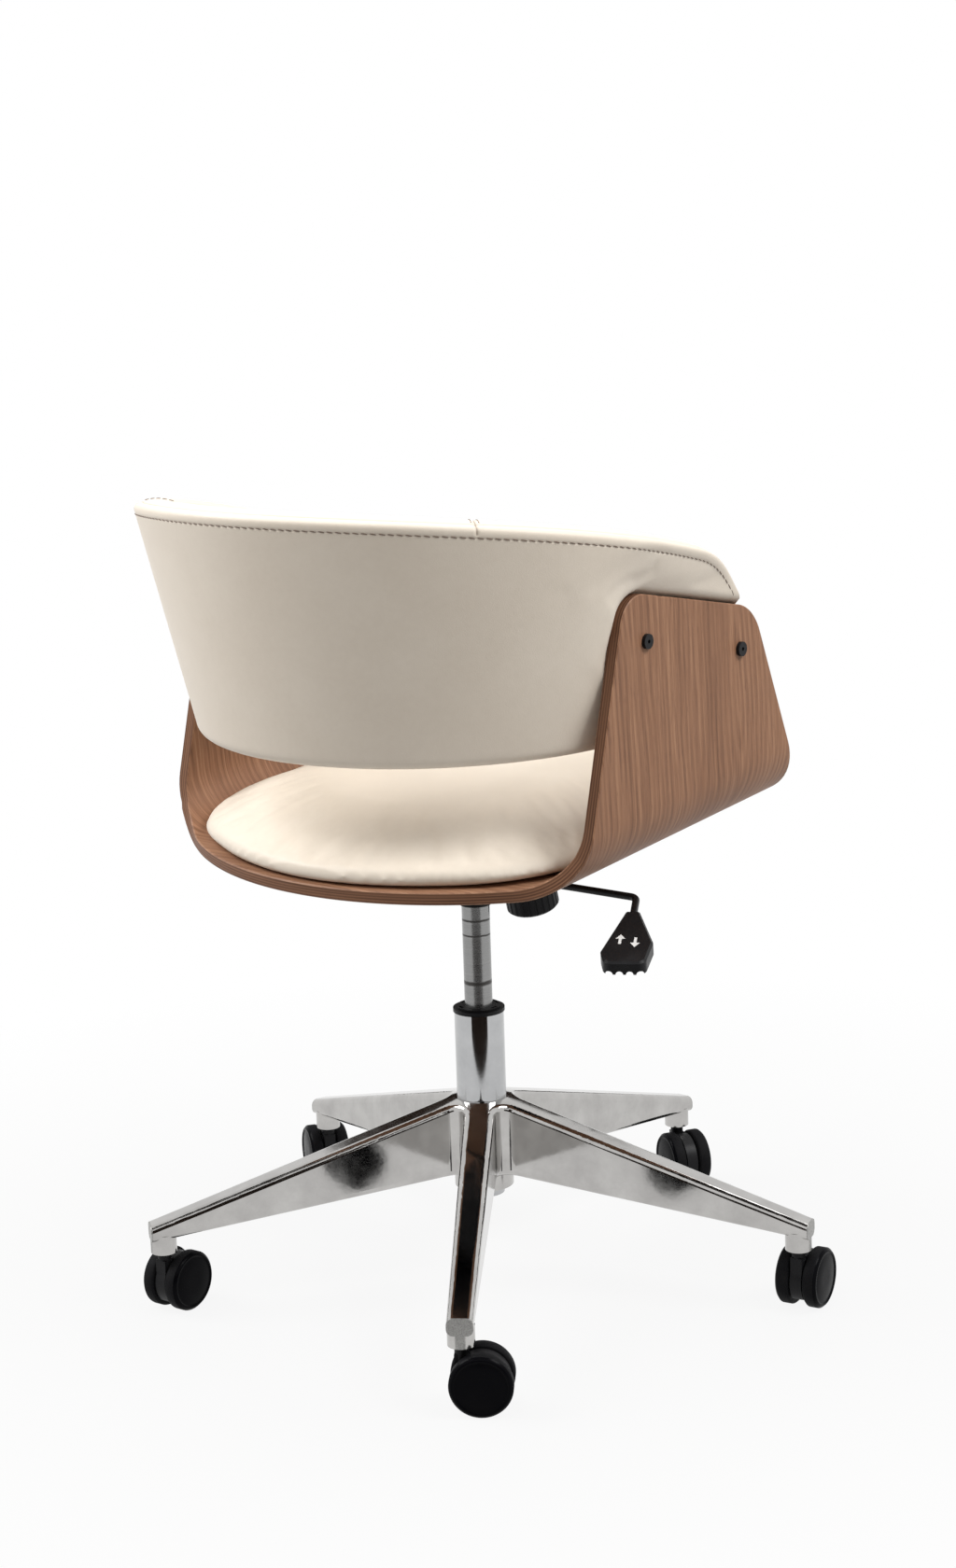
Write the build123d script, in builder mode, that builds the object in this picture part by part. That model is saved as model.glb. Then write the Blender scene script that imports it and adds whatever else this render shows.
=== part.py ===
from build123d import *
import math
import os

# Swivel tub chair on a five-star base. Millimetres, +Z up, floor at Z = 0, column on the Z axis.
# The sitter faces -Y, so -X is the sitter's right hand.

# Running fits and seats
RUN_CLEAR = 0.05
SEAT_GAP = 0.3

# Casters
WHEEL_D = 60.0
WHEEL_W = 14.0
WHEEL_TRACK = 29.0
WHEEL_CROWN = 1.5
WHEEL_BEVEL = 2.6
WHEEL_DISC_D = 49.0
WHEEL_DISC_STEP = 0.8
WHEEL_BORE_DEPTH = 10.0
AXLE_D = 8.0
AXLE_END_GAP = 0.4
CASTER_TRAIL = 18.0
HOOD_D = 54.0
HOOD_W = 12.0
HOOD_BOSS_D = 13.4
HOOD_FOOT = 12.0
STEM_D = 11.0
STEM_SEAT = 22.0
STEM_GROOVE = 0.8
SLEEVE_WALL = 1.0
# Trail direction of each caster, leg by leg, as the wheels happen to stand
CASTER_TURNS = [214.0, 273.0, 324.0, 147.0, 279.0]

# Five-star base
LEG_COUNT = 5
LEG_TURN = 123.8
LEG_STEP = -72.0
SOCKET_R = 330.0
SOCKET_D = 26.0
SOCKET_BOTTOM = 64.0
SOCKET_DEPTH = 27.0
LEG_TIP_OUT = 13.0
LEG_TIP_TOP = 94.0
LEG_TIP_BOTTOM = 77.0
LEG_TIP_W = 25.0
LEG_ROOT_W = 31.0
LEG_TOP_ROUND = 6.5
LEG_WALL = 5.0
HUB_R = 30.0
HUB_TOP = 190.0
HUB_FLAT_R = 27.0
HUB_BELLY = 113.0
HUB_BOTTOM = 97.0
HUB_CORNER = 14.0

# Gas column
TUBE_D = 50.0
TUBE_TAPER = 1.0
TUBE_WALL = 2.2
TUBE_TOP = 280.0
TUBE_END = 88.0
TUBE_END_D = 41.0
TUBE_FLOOR = 6.0
BUSH_LENGTH = 70.0
BUSH_FLANGE_D = 52.0
BUSH_FLANGE_H = 3.6
BUSH_STEP_D = 44.0
BUSH_STEP_H = 2.0
BUSH_SLOTS = 6
PISTON_D = 28.0
PISTON_BOTTOM = 206.0
PISTON_GLAND = 16.0
PISTON_WALL = 3.0
PISTON_ROOF = 13.0
CONE_TIP_D = 26.4
ROD_D = 10.0
ROD_HEAD_H = 14.0
ROD_HEAD_GAP = 10.0
ROD_COLLAR_D = 16.0
ROD_COLLAR_H = 3.0
BEARING_D = 28.0
BEARING_H = 6.0
BUMP_D = 22.0
BUMP_H = 16.0
CLIP_D = 18.0
CLIP_H = 1.4
VALVE_D = 8.0
VALVE_TIP_D = 5.0
VALVE_OUT = 6.0

# Tilt mechanism
CONE_BOTTOM = 390.0
CONE_LENGTH = 48.0
CONE_BUSH_D = 34.0
CONE_LIP_D = 31.0
CONE_LIP_H = 5.0
HOUSING_W = 96.0
HOUSING_WALL = 3.0
HOUSING_FLOOR = 416.0
HOUSING_TOP = 462.0
HOUSING_FRONT = -128.0
HOUSING_REAR = 56.0
HOUSING_REAR_TOP = 445.0
HOUSING_CORNER = 14.0
PIVOT_Y = -30.0
PIVOT_Z = 455.0
PIVOT_D = 10.0
PIVOT_BUSH_WALL = 2.0
PIN_CLIP_D = 17.0
PIN_CLIP_H = 1.2
PLATE_W = 180.0
PLATE_FRONT = -125.0
PLATE_REAR = 105.0
PLATE_T = 3.0
PLATE_CORNER = 18.0
EAR_LENGTH = 42.0
EAR_GAP = 0.8
EAR_T = 3.0
BOLT_D = 6.0
BOLT_HEAD_D = 12.0
BOLT_HEAD_H = 4.0
BOLT_CLEAR = 0.2
BOLT_SPACING_X = 150.0
BOLT_SPACING_Y = 175.0
BOLT_CENTRE_Y = -8.0
TEE_BARREL_D = 8.0
TEE_FLANGE_D = 18.0
TEE_FLANGE_T = 1.5
STOP_W = 40.0
STOP_D = 10.0

# Tension knob, bolt and spring
KNOB_D = 54.0
KNOB_H = 24.0
KNOB_FLOOR = 6.0
KNOB_WALL = 4.0
KNOB_FLUTES = 24
KNOB_FLUTE_R = 1.5
KNOB_CHAMFER = 2.0
KNOB_Y = -95.6
KNOB_Z = 366.0
KNOB_LEAN = 15.0
TENSION_BOLT_D = 8.0
TENSION_BOLT_LENGTH = 108.7
TENSION_BOLT_SEAT = 3.0
NUT_D = 16.0
NUT_UP = 98.7
NUT_LENGTH = 30.0
TAB_T = 3.0
SLOT_MARGIN = 7.0
TILT_MAX = 12.0
SPRING_D = 34.0
SPRING_WIRE = 4.5
SPRING_TURNS = 4
SPRING_SEAT_RIM = 4.0
SPRING_SEAT_UP = 43.7

# Seat-height lever
LEVER_D = 7.0
LEVER_Y = 33.0
LEVER_Z = 434.0
LEVER_REACH = 219.0
LEVER_BEND = 11.0
LEVER_OUT = 50.7
LEVER_OUT_TURN = 119.5
LEVER_OUT_DROP = 14.0
LEVER_BUSH_D = 12.0
LEVER_BUSH_T = 6.0
TONGUE_X = -5.0
TONGUE_W = 21.0
TONGUE_T = 3.0
TONGUE_OVER = 6.0
LOCK_LENGTH = 12.0
LOCK_W = 14.0
LOCK_TOP = 449.0
LOCK_X = -18.0
LOCK_RING_D = 11.0
LOCK_RING_T = 2.0
PADDLE_LENGTH = 95.0
PADDLE_W = 47.0
PADDLE_NECK_W = 13.0
PADDLE_T = 13.0
PADDLE_SOCKET = 14.0
PADDLE_ROUND = 9.0
PADDLE_SCALLOPS = 4
PADDLE_SCALLOP_R = 3.4
PADDLE_EDGE = 2.0

# Bent shell
SHELL_PITCH = 4.0
SHELL_Z = 475.0
SHELL_W = 510.0
SHELL_T = 12.0
SHELL_BEND_R = 60.0
SHELL_REAR = 257.0
SHELL_REAR_SAG = 66.0
SHELL_FRONT = -206.0
SHELL_FRONT_CORNER = 30.0
PANEL_FOOT_Z = 30.0
PANEL_REAR_FOOT = 154.6
PANEL_REAR_SLOPE = 0.343
PANEL_FRONT_SLOPE = 0.341
PANEL_TOP = 245.0
PANEL_TOP_SLOPE = 0.279
PANEL_REAR_ROUND = 32.0
PANEL_FRONT_ROUND = 50.0

# Seat cushion
BOARD_T = 8.0
BOARD_INSET = 45.0
CUSHION_W = 458.0
CUSHION_REAR = 253.0
CUSHION_REAR_SAG = 98.0
CUSHION_FRONT = -215.0
CUSHION_FRONT_SAG = 22.0
CUSHION_CORNER = 62.0
CUSHION_CROWN = 62.0
CUSHION_BULGE = 30.0
CUSHION_SIDE_TUCK = 33.0
CUSHION_END_TUCK = 4.0
CUSHION_DOME = 5
CUSHION_RINGS = 9

# Backrest
BACK_BOTTOM = 583.5
BACK_TOP = 820.5
BACK_R = 247.6
BACK_R_Z = 640.0
BACK_LEAN = 13.0
BACK_CENTRE_Y = 42.0
BACK_T_FOOT = 42.0
BACK_T_MIDDLE = 60.0
BACK_T_HEAD = 48.0
BACK_ARM_FRONT = -108.0
BACK_ARM_BOTTOM = 593.0
BACK_ARM_TOP = 754.0
BACK_ARM_TOP_Y = -40.0
BACK_ARM_NOSE_Z = 698.0
BACK_TOP_MIDDLE = (140.0, 794.5)
BACK_EDGE_R = 8.0
BACK_SKIN = 12.0
BACK_RECESS = 1.0
FORMER_X = 232.0
FORMER_T = 9.0
FORMER_MARGIN = 24.0
SIDE_BOLT_HEAD_D = 14.0
SIDE_BOLT_HEAD_H = 3.5
SIDE_BOLT_HEX = 4.0
SIDE_BOLTS = [(61.0, 685.4), (-94.9, 654.0)]
INSERT_D = 10.0
INSERT_LENGTH = 9.0

os.makedirs("parts", exist_ok=True)

# Heights and radii that follow from the sizes above
WHEEL_R = WHEEL_D / 2
LEG_TIP_R = SOCKET_R + LEG_TIP_OUT
PISTON_TOP = CONE_BOTTOM + CONE_LENGTH
ROD_SHOULDER = TUBE_END + TUBE_FLOOR + BEARING_H
ROD_TOP = PISTON_BOTTOM + PISTON_GLAND + ROD_HEAD_GAP
VALVE_TOP = PISTON_TOP + VALVE_OUT
HOUSING_X = HOUSING_W / 2
EAR_X = HOUSING_X + EAR_GAP
SHELL_X = SHELL_W / 2
SHELL_FLAT_X = SHELL_X - SHELL_BEND_R
CUSHION_X = CUSHION_W / 2

# The seat's own frame leans back by the shell's pitch
PITCH_SIN = math.sin(math.radians(SHELL_PITCH))
PITCH_COS = math.cos(math.radians(SHELL_PITCH))
SEAT_X_DIR = (1, 0, 0)
SEAT_Y_DIR = (0, PITCH_COS, -PITCH_SIN)
SEAT_Z_DIR = (0, PITCH_SIN, PITCH_COS)
SEAT_ORIGIN = (0, 0, SHELL_Z)
seat_plan = Plane(SEAT_ORIGIN, x_dir=SEAT_X_DIR, z_dir=SEAT_Z_DIR)
seat_front = Plane(SEAT_ORIGIN, x_dir=SEAT_X_DIR, z_dir=(0, -PITCH_COS, PITCH_SIN))
seat_side = Plane(SEAT_ORIGIN, x_dir=SEAT_Y_DIR, z_dir=SEAT_X_DIR)

# The tension knob's frame stands on the knob's lower face, Z up along its bolt
LEAN_SIN = math.sin(math.radians(KNOB_LEAN))
LEAN_COS = math.cos(math.radians(KNOB_LEAN))
knob_plan = Plane((0, KNOB_Y, KNOB_Z), x_dir=(1, 0, 0), z_dir=(0, LEAN_SIN, LEAN_COS))


def side_plane(x=0.0):
    """A plane square to X, with its own x along Y and its own y along Z."""
    return Plane((x, 0, 0), x_dir=(0, 1, 0), z_dir=(1, 0, 0))


def finish(builder, name):
    """Labels a finished piece and writes it."""
    builder.part.label = name
    export_step(builder.part, f"parts/{name}.step")


def ring_profile(inner, outer, low, high):
    """Adds the half section of a ring to the sketch in hand, radius along x and height along y."""
    Polygon((inner, low), (outer, low), (outer, high), (inner, high), align=None)


# Five-star base: a star in plan cut to a cone above and below, hollow under the legs
leg_angles = [LEG_TURN + LEG_STEP * i for i in range(LEG_COUNT)]
TOP_SLOPE = (HUB_TOP - LEG_TIP_TOP) / (LEG_TIP_R - HUB_FLAT_R)
LOW_SLOPE = (HUB_BELLY - LEG_TIP_BOTTOM) / (LEG_TIP_R - HUB_FLAT_R)


def leg_half_width(radius):
    """Half the leg's width at a distance from the column."""
    share = (radius - HUB_R) / (LEG_TIP_R - HUB_R)
    return (LEG_ROOT_W + (LEG_TIP_W - LEG_ROOT_W) * share) / 2


def leg_outline(start, end, inset):
    """Adds one tapered leg along +X to the sketch in hand."""
    near = leg_half_width(start) - inset
    far = leg_half_width(end) - inset
    Polygon((start, -near), (end, -far), (end, far), (start, near), align=None)


with BuildPart() as star_base:
    with BuildSketch(Plane.XY.offset(SOCKET_BOTTOM)) as star_plan:
        with PolarLocations(0, LEG_COUNT, start_angle=LEG_TURN):
            leg_outline(0, LEG_TIP_R, 0)
        roots = star_plan.vertices().filter_by(lambda v: math.hypot(v.X, v.Y) < SOCKET_R / 2)
        fillet(roots, HUB_CORNER)
    extrude(amount=HUB_TOP - SOCKET_BOTTOM)
    with BuildSketch(Plane.XZ) as star_side:
        with BuildLine():
            Polyline(
                (0, HUB_BELLY),
                (HUB_FLAT_R, HUB_BELLY),
                (LEG_TIP_R + 1, LEG_TIP_BOTTOM - LOW_SLOPE),
                (LEG_TIP_R + 1, LEG_TIP_TOP - TOP_SLOPE),
                (HUB_FLAT_R, HUB_TOP),
                (0, HUB_TOP),
                close=True,
            )
        make_face()
    revolve(axis=Axis.Z, mode=Mode.INTERSECT)
    rims = [
        edge
        for edge in star_base.edges()
        if edge.center().Z > LEG_TIP_TOP
        and HUB_R < math.hypot(edge.center().X, edge.center().Y) < SOCKET_R
        and abs((edge % 0.5).Z) < 0.9
    ]
    fillet(rims, LEG_TOP_ROUND)
    # Sockets under the leg tips and the sleeve under the hub
    with BuildSketch(Plane.XY.offset(SOCKET_BOTTOM)):
        with PolarLocations(SOCKET_R, LEG_COUNT, start_angle=LEG_TURN):
            Circle(SOCKET_D / 2)
    extrude(amount=LEG_TIP_BOTTOM + SOCKET_D / 4 - SOCKET_BOTTOM)
    with BuildSketch(Plane.XY.offset(HUB_BOTTOM)):
        Circle(HUB_R)
    extrude(amount=HUB_BELLY - HUB_BOTTOM)
    # Channel under each leg
    with BuildPart(mode=Mode.PRIVATE) as channels:
        with BuildSketch(Plane.XY.offset(SOCKET_BOTTOM)):
            with PolarLocations(0, LEG_COUNT, start_angle=LEG_TURN):
                leg_outline(HUB_R + HUB_CORNER, SOCKET_R - SOCKET_D / 2 - LEG_WALL, LEG_WALL)
        extrude(amount=HUB_TOP - SOCKET_BOTTOM)
        with BuildSketch(Plane.XZ):
            Polygon(
                (0, SOCKET_BOTTOM),
                (LEG_TIP_R, SOCKET_BOTTOM),
                (LEG_TIP_R, LEG_TIP_TOP - LEG_TOP_ROUND),
                (HUB_FLAT_R, HUB_TOP - LEG_TOP_ROUND),
                (0, HUB_TOP - LEG_TOP_ROUND),
                align=None,
            )
        revolve(axis=Axis.Z, mode=Mode.INTERSECT)
    add(channels.part, mode=Mode.SUBTRACT)
    # Tapered seat for the column and the five caster sockets
    with BuildSketch(Plane.XZ):
        Polygon(
            (0, HUB_BOTTOM),
            (TUBE_D / 2 - TUBE_TAPER, HUB_BOTTOM),
            (TUBE_D / 2, HUB_TOP),
            (0, HUB_TOP),
            align=None,
        )
    revolve(axis=Axis.Z, mode=Mode.SUBTRACT)
    with BuildSketch(Plane.XY.offset(SOCKET_BOTTOM)):
        with PolarLocations(SOCKET_R, LEG_COUNT, start_angle=LEG_TURN):
            Circle(STEM_D / 2 + RUN_CLEAR + SLEEVE_WALL)
    extrude(amount=SOCKET_DEPTH, mode=Mode.SUBTRACT)
finish(star_base, "star_base")

with BuildPart() as caster_sleeves:
    with BuildSketch(Plane.XY.offset(SOCKET_BOTTOM)):
        with PolarLocations(SOCKET_R, LEG_COUNT, start_angle=LEG_TURN):
            Circle(STEM_D / 2 + RUN_CLEAR + SLEEVE_WALL)
            Circle(STEM_D / 2 + RUN_CLEAR, mode=Mode.SUBTRACT)
    extrude(amount=SOCKET_DEPTH)
finish(caster_sleeves, "caster_sleeves")

# Gas column: outer tube, guide bush, rod with its bearing, and the lifting cylinder
TUBE_IN_R = TUBE_D / 2 - TUBE_WALL
with BuildPart() as column_tube:
    with BuildSketch(Plane.XZ):
        Polygon(
            (ROD_D / 2 + RUN_CLEAR, TUBE_END),
            (TUBE_END_D / 2, TUBE_END),
            (TUBE_END_D / 2, HUB_BOTTOM),
            (TUBE_D / 2 - TUBE_TAPER, HUB_BOTTOM),
            (TUBE_D / 2, HUB_TOP),
            (TUBE_D / 2, TUBE_TOP),
            (TUBE_IN_R, TUBE_TOP),
            (TUBE_IN_R, HUB_BOTTOM + TUBE_FLOOR),
            (TUBE_END_D / 2 - TUBE_WALL, TUBE_END + TUBE_FLOOR),
            (ROD_D / 2 + RUN_CLEAR, TUBE_END + TUBE_FLOOR),
            align=None,
        )
    revolve(axis=Axis.Z)
finish(column_tube, "column_tube")

BUSH_TOP = TUBE_TOP + BUSH_FLANGE_H + BUSH_STEP_H
with BuildPart() as column_bush:
    with BuildSketch(Plane.XZ):
        bore = PISTON_D / 2 + RUN_CLEAR
        ring_profile(bore, TUBE_IN_R, TUBE_TOP - BUSH_LENGTH, TUBE_TOP)
        ring_profile(bore, BUSH_FLANGE_D / 2, TUBE_TOP, TUBE_TOP + BUSH_FLANGE_H)
        ring_profile(bore, BUSH_STEP_D / 2, TUBE_TOP + BUSH_FLANGE_H, BUSH_TOP)
    revolve(axis=Axis.Z)
    with BuildSketch(Plane.XY.offset(TUBE_TOP + BUSH_FLANGE_H)):
        with PolarLocations((PISTON_D + BUSH_STEP_D) / 4 + 1, BUSH_SLOTS):
            Rectangle(2.4, 8)
    extrude(amount=BUSH_STEP_H, mode=Mode.SUBTRACT)
finish(column_bush, "column_bush")

with BuildPart() as piston_rod:
    with BuildSketch(Plane.XZ):
        ring_profile(0, ROD_D / 2, TUBE_END - SEAT_GAP - 2 * CLIP_H, ROD_TOP)
        ring_profile(0, ROD_COLLAR_D / 2, ROD_SHOULDER, ROD_SHOULDER + ROD_COLLAR_H)
        ring_profile(0, PISTON_D / 2 - PISTON_WALL - RUN_CLEAR, ROD_TOP, ROD_TOP + ROD_HEAD_H)
    revolve(axis=Axis.Z)
    with BuildSketch(Plane.XZ):
        groove = TUBE_END - SEAT_GAP - CLIP_H
        ring_profile(ROD_D / 2 - STEM_GROOVE, ROD_D / 2 + 1, groove, groove + CLIP_H)
    revolve(axis=Axis.Z, mode=Mode.SUBTRACT)
finish(piston_rod, "piston_rod")

with BuildPart() as rod_clip:
    with BuildSketch(Plane.XY.offset(TUBE_END - SEAT_GAP - CLIP_H)):
        Circle(CLIP_D / 2)
        Circle(ROD_D / 2 - STEM_GROOVE, mode=Mode.SUBTRACT)
    extrude(amount=CLIP_H)
finish(rod_clip, "rod_clip")

with BuildPart() as thrust_bearing:
    with BuildSketch(Plane.XZ):
        low = TUBE_END + TUBE_FLOOR
        waist = BEARING_H / 3
        ring_profile(ROD_D / 2, BEARING_D / 2, low, low + waist)
        ring_profile(ROD_D / 2, BEARING_D / 2 - waist, low + waist, low + 2 * waist)
        ring_profile(ROD_D / 2, BEARING_D / 2, low + 2 * waist, low + BEARING_H)
    revolve(axis=Axis.Z)
finish(thrust_bearing, "thrust_bearing")

with BuildPart() as bump_stop:
    with BuildSketch(Plane.XY.offset(ROD_SHOULDER + ROD_COLLAR_H)):
        Circle(BUMP_D / 2)
        Circle(ROD_D / 2, mode=Mode.SUBTRACT)
    extrude(amount=BUMP_H)
    chamfer(bump_stop.edges().filter_by(GeomType.CIRCLE).sort_by(SortBy.RADIUS)[-2:], 2)
finish(bump_stop, "bump_stop")

with BuildPart() as gas_cylinder:
    with BuildSketch(Plane.XZ):
        bore = PISTON_D / 2 - PISTON_WALL
        gland = ROD_D / 2 + RUN_CLEAR
        valve = VALVE_D / 2 + RUN_CLEAR
        Polygon(
            (gland, PISTON_BOTTOM),
            (PISTON_D / 2, PISTON_BOTTOM),
            (PISTON_D / 2, CONE_BOTTOM),
            (CONE_TIP_D / 2, PISTON_TOP),
            (valve, PISTON_TOP),
            (valve, PISTON_TOP - PISTON_ROOF),
            (bore, PISTON_TOP - PISTON_ROOF),
            (bore, PISTON_BOTTOM + PISTON_GLAND),
            (gland, PISTON_BOTTOM + PISTON_GLAND),
            align=None,
        )
    revolve(axis=Axis.Z)
finish(gas_cylinder, "gas_cylinder")

with BuildPart() as valve_button:
    with BuildSketch(Plane.XZ):
        ring_profile(0, VALVE_D / 2, PISTON_TOP - PISTON_ROOF, PISTON_TOP + VALVE_OUT / 2)
        ring_profile(0, VALVE_TIP_D / 2, PISTON_TOP + VALVE_OUT / 2, VALVE_TOP)
    revolve(axis=Axis.Z)
finish(valve_button, "valve_button")

# Tilt mechanism: pressed housing on the column's cone, seat plate on a cross pin
with BuildPart() as cone_bush:
    with BuildSketch(Plane.XZ):
        Polygon(
            (PISTON_D / 2, CONE_BOTTOM),
            (CONE_LIP_D / 2, CONE_BOTTOM),
            (CONE_LIP_D / 2, CONE_BOTTOM + CONE_LIP_H),
            (CONE_BUSH_D / 2, CONE_BOTTOM + CONE_LIP_H + 2),
            (CONE_BUSH_D / 2, PISTON_TOP),
            (CONE_TIP_D / 2, PISTON_TOP),
            align=None,
        )
    revolve(axis=Axis.Z)
finish(cone_bush, "cone_bush")

# Where the tension bolt crosses the housing floor, upright and fully tilted
def tilted(y, z):
    """A point of the seat's side view after the full tilt about the pivot."""
    turn = math.radians(TILT_MAX)
    dy = y - PIVOT_Y
    dz = z - PIVOT_Z
    return (
        PIVOT_Y + dy * math.cos(turn) + dz * math.sin(turn),
        PIVOT_Z - dy * math.sin(turn) + dz * math.cos(turn),
    )


knob_back = tilted(KNOB_Y, KNOB_Z)
slot_rest = KNOB_Y + (HOUSING_FLOOR - KNOB_Z) * math.tan(math.radians(KNOB_LEAN))
slot_back = knob_back[0] + (HOUSING_FLOOR - knob_back[1]) * math.tan(math.radians(KNOB_LEAN + TILT_MAX))
SLOT_REAR = max(slot_rest, slot_back) + SLOT_MARGIN
SLOT_FRONT = min(slot_rest, slot_back) - SLOT_MARGIN

with BuildPart() as mechanism_housing:
    with BuildSketch(Plane.XY.offset(HOUSING_FLOOR)) as tub:
        with Locations((0, (HOUSING_FRONT + HOUSING_REAR) / 2)):
            RectangleRounded(HOUSING_W, HOUSING_REAR - HOUSING_FRONT, HOUSING_CORNER)
    extrude(amount=HOUSING_TOP - HOUSING_FLOOR)
    offset(amount=-HOUSING_WALL, openings=mechanism_housing.faces().sort_by(Axis.Z)[-1])
    # The walls fall away behind the pivot, so that the plate can tilt back over them
    with BuildSketch(side_plane()):
        Polygon(
            (PIVOT_Y + PIVOT_D, HOUSING_TOP),
            (HOUSING_REAR, HOUSING_REAR_TOP),
            (HOUSING_REAR + 1, HOUSING_REAR_TOP),
            (HOUSING_REAR + 1, HOUSING_TOP + 1),
            (PIVOT_Y + PIVOT_D, HOUSING_TOP + 1),
            align=None,
        )
    extrude(amount=HOUSING_W, both=True, mode=Mode.SUBTRACT)
    with BuildSketch(side_plane()):
        with Locations((PIVOT_Y, PIVOT_Z)):
            Circle(PIVOT_D / 2)
    extrude(amount=HOUSING_W, both=True, mode=Mode.SUBTRACT)
    with BuildSketch(side_plane()):
        with Locations((LEVER_Y, LEVER_Z)):
            Circle(LEVER_BUSH_D / 2)
    extrude(amount=-HOUSING_W, mode=Mode.SUBTRACT)
    with BuildSketch(Plane.XY.offset(HOUSING_FLOOR)):
        Circle(CONE_BUSH_D / 2)
        with Locations((0, (SLOT_FRONT + SLOT_REAR) / 2)):
            SlotOverall(SLOT_REAR - SLOT_FRONT, TENSION_BOLT_D * 1.5, rotation=90)
    extrude(amount=HOUSING_WALL, mode=Mode.SUBTRACT)
finish(mechanism_housing, "mechanism_housing")

with BuildPart() as lever_bush:
    with BuildSketch(side_plane(-HOUSING_X - LEVER_BUSH_T + HOUSING_WALL)):
        with Locations((LEVER_Y, LEVER_Z)):
            Circle(LEVER_BUSH_D / 2)
            Circle(LEVER_D / 2 + RUN_CLEAR, mode=Mode.SUBTRACT)
    extrude(amount=LEVER_BUSH_T)
finish(lever_bush, "lever_bush")

PIN_HALF = EAR_X + EAR_T + PIN_CLIP_H + SEAT_GAP
with BuildPart() as pivot_pin:
    with BuildSketch(side_plane(-PIN_HALF - PIN_CLIP_H)):
        with Locations((PIVOT_Y, PIVOT_Z)):
            Circle(PIVOT_D / 2)
    extrude(amount=2 * (PIN_HALF + PIN_CLIP_H))
    for side in (-1, 1):
        with BuildSketch(side_plane(side * PIN_HALF)):
            with Locations((PIVOT_Y, PIVOT_Z)):
                Circle(PIVOT_D / 2 + 1)
                Circle(PIVOT_D / 2 - STEM_GROOVE, mode=Mode.SUBTRACT)
        extrude(amount=-side * PIN_CLIP_H, mode=Mode.SUBTRACT)
finish(pivot_pin, "pivot_pin")

with BuildPart() as pin_clips:
    for side in (-1, 1):
        with BuildSketch(side_plane(side * PIN_HALF)):
            with Locations((PIVOT_Y, PIVOT_Z)):
                Circle(PIN_CLIP_D / 2)
                Circle(PIVOT_D / 2 - STEM_GROOVE, mode=Mode.SUBTRACT)
        extrude(amount=-side * PIN_CLIP_H)
finish(pin_clips, "pin_clips")

with BuildPart() as pivot_bushes:
    for side in (-1, 1):
        with BuildSketch(side_plane(side * EAR_X)):
            with Locations((PIVOT_Y, PIVOT_Z)):
                Circle(PIVOT_D / 2 + PIVOT_BUSH_WALL)
                Circle(PIVOT_D / 2 + RUN_CLEAR, mode=Mode.SUBTRACT)
        extrude(amount=side * EAR_T)
finish(pivot_bushes, "pivot_bushes")

nut_y = KNOB_Y + NUT_UP * LEAN_SIN
nut_z = KNOB_Z + NUT_UP * LEAN_COS
bolt_places = [
    (sx * BOLT_SPACING_X / 2, BOLT_CENTRE_Y + sy * BOLT_SPACING_Y / 2) for sx in (-1, 1) for sy in (-1, 1)
]
pivot_seat = seat_side.to_local_coords(Vector(0, PIVOT_Y, PIVOT_Z))
nut_seat = seat_side.to_local_coords(Vector(0, nut_y, nut_z))
with BuildPart() as seat_plate:
    with BuildSketch(seat_plan.offset(-PLATE_T)):
        with Locations((0, (PLATE_FRONT + PLATE_REAR) / 2)):
            RectangleRounded(PLATE_W, PLATE_REAR - PLATE_FRONT, PLATE_CORNER)
    extrude(amount=PLATE_T)
    # Ears on the pivot and two tabs on the tension nut
    for side in (-1, 1):
        ear_plane = seat_side.offset(side * EAR_X)
        with BuildSketch(ear_plane):
            with BuildLine():
                drop = pivot_seat.Y
                Polyline(
                    (pivot_seat.X - EAR_LENGTH / 2, drop),
                    (pivot_seat.X - EAR_LENGTH / 2, 0),
                    (pivot_seat.X + EAR_LENGTH / 2, 0),
                    (pivot_seat.X + EAR_LENGTH / 2, drop),
                )
                ThreePointArc(
                    (pivot_seat.X + EAR_LENGTH / 2, drop),
                    (pivot_seat.X, drop - EAR_LENGTH / 3),
                    (pivot_seat.X - EAR_LENGTH / 2, drop),
                )
            make_face()
        extrude(amount=side * EAR_T)
        with BuildSketch(seat_side.offset(side * (NUT_LENGTH / 2 - TAB_T))):
            with Locations((nut_seat.X, nut_seat.Y / 2)):
                Rectangle(NUT_D * 1.3, -nut_seat.Y)
            with Locations((nut_seat.X, nut_seat.Y)):
                Circle(NUT_D * 0.65)
        extrude(amount=side * TAB_T)
    with BuildSketch(side_plane()):
        with Locations((PIVOT_Y, PIVOT_Z)):
            Circle(PIVOT_D / 2 + PIVOT_BUSH_WALL)
        with Locations((nut_y, nut_z)):
            Circle(NUT_D / 2)
    extrude(amount=PLATE_W, both=True, mode=Mode.SUBTRACT)
    with BuildSketch(seat_plan.offset(-PLATE_T)):
        with Locations(*bolt_places):
            Circle(BOLT_D / 2 + BOLT_CLEAR)
    extrude(amount=PLATE_T, mode=Mode.SUBTRACT)
finish(seat_plate, "seat_plate")

with BuildPart() as tilt_stop:
    stop_y = HOUSING_FRONT + STOP_D
    stop_top = SHELL_Z - PLATE_T - SEAT_GAP - (stop_y + STOP_D / 2) * PITCH_SIN
    with BuildSketch(Plane.XY.offset(HOUSING_FLOOR + HOUSING_WALL)):
        with Locations((0, stop_y)):
            RectangleRounded(STOP_W, STOP_D, STOP_D / 4)
    extrude(amount=stop_top - HOUSING_FLOOR - HOUSING_WALL)
finish(tilt_stop, "tilt_stop")

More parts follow.
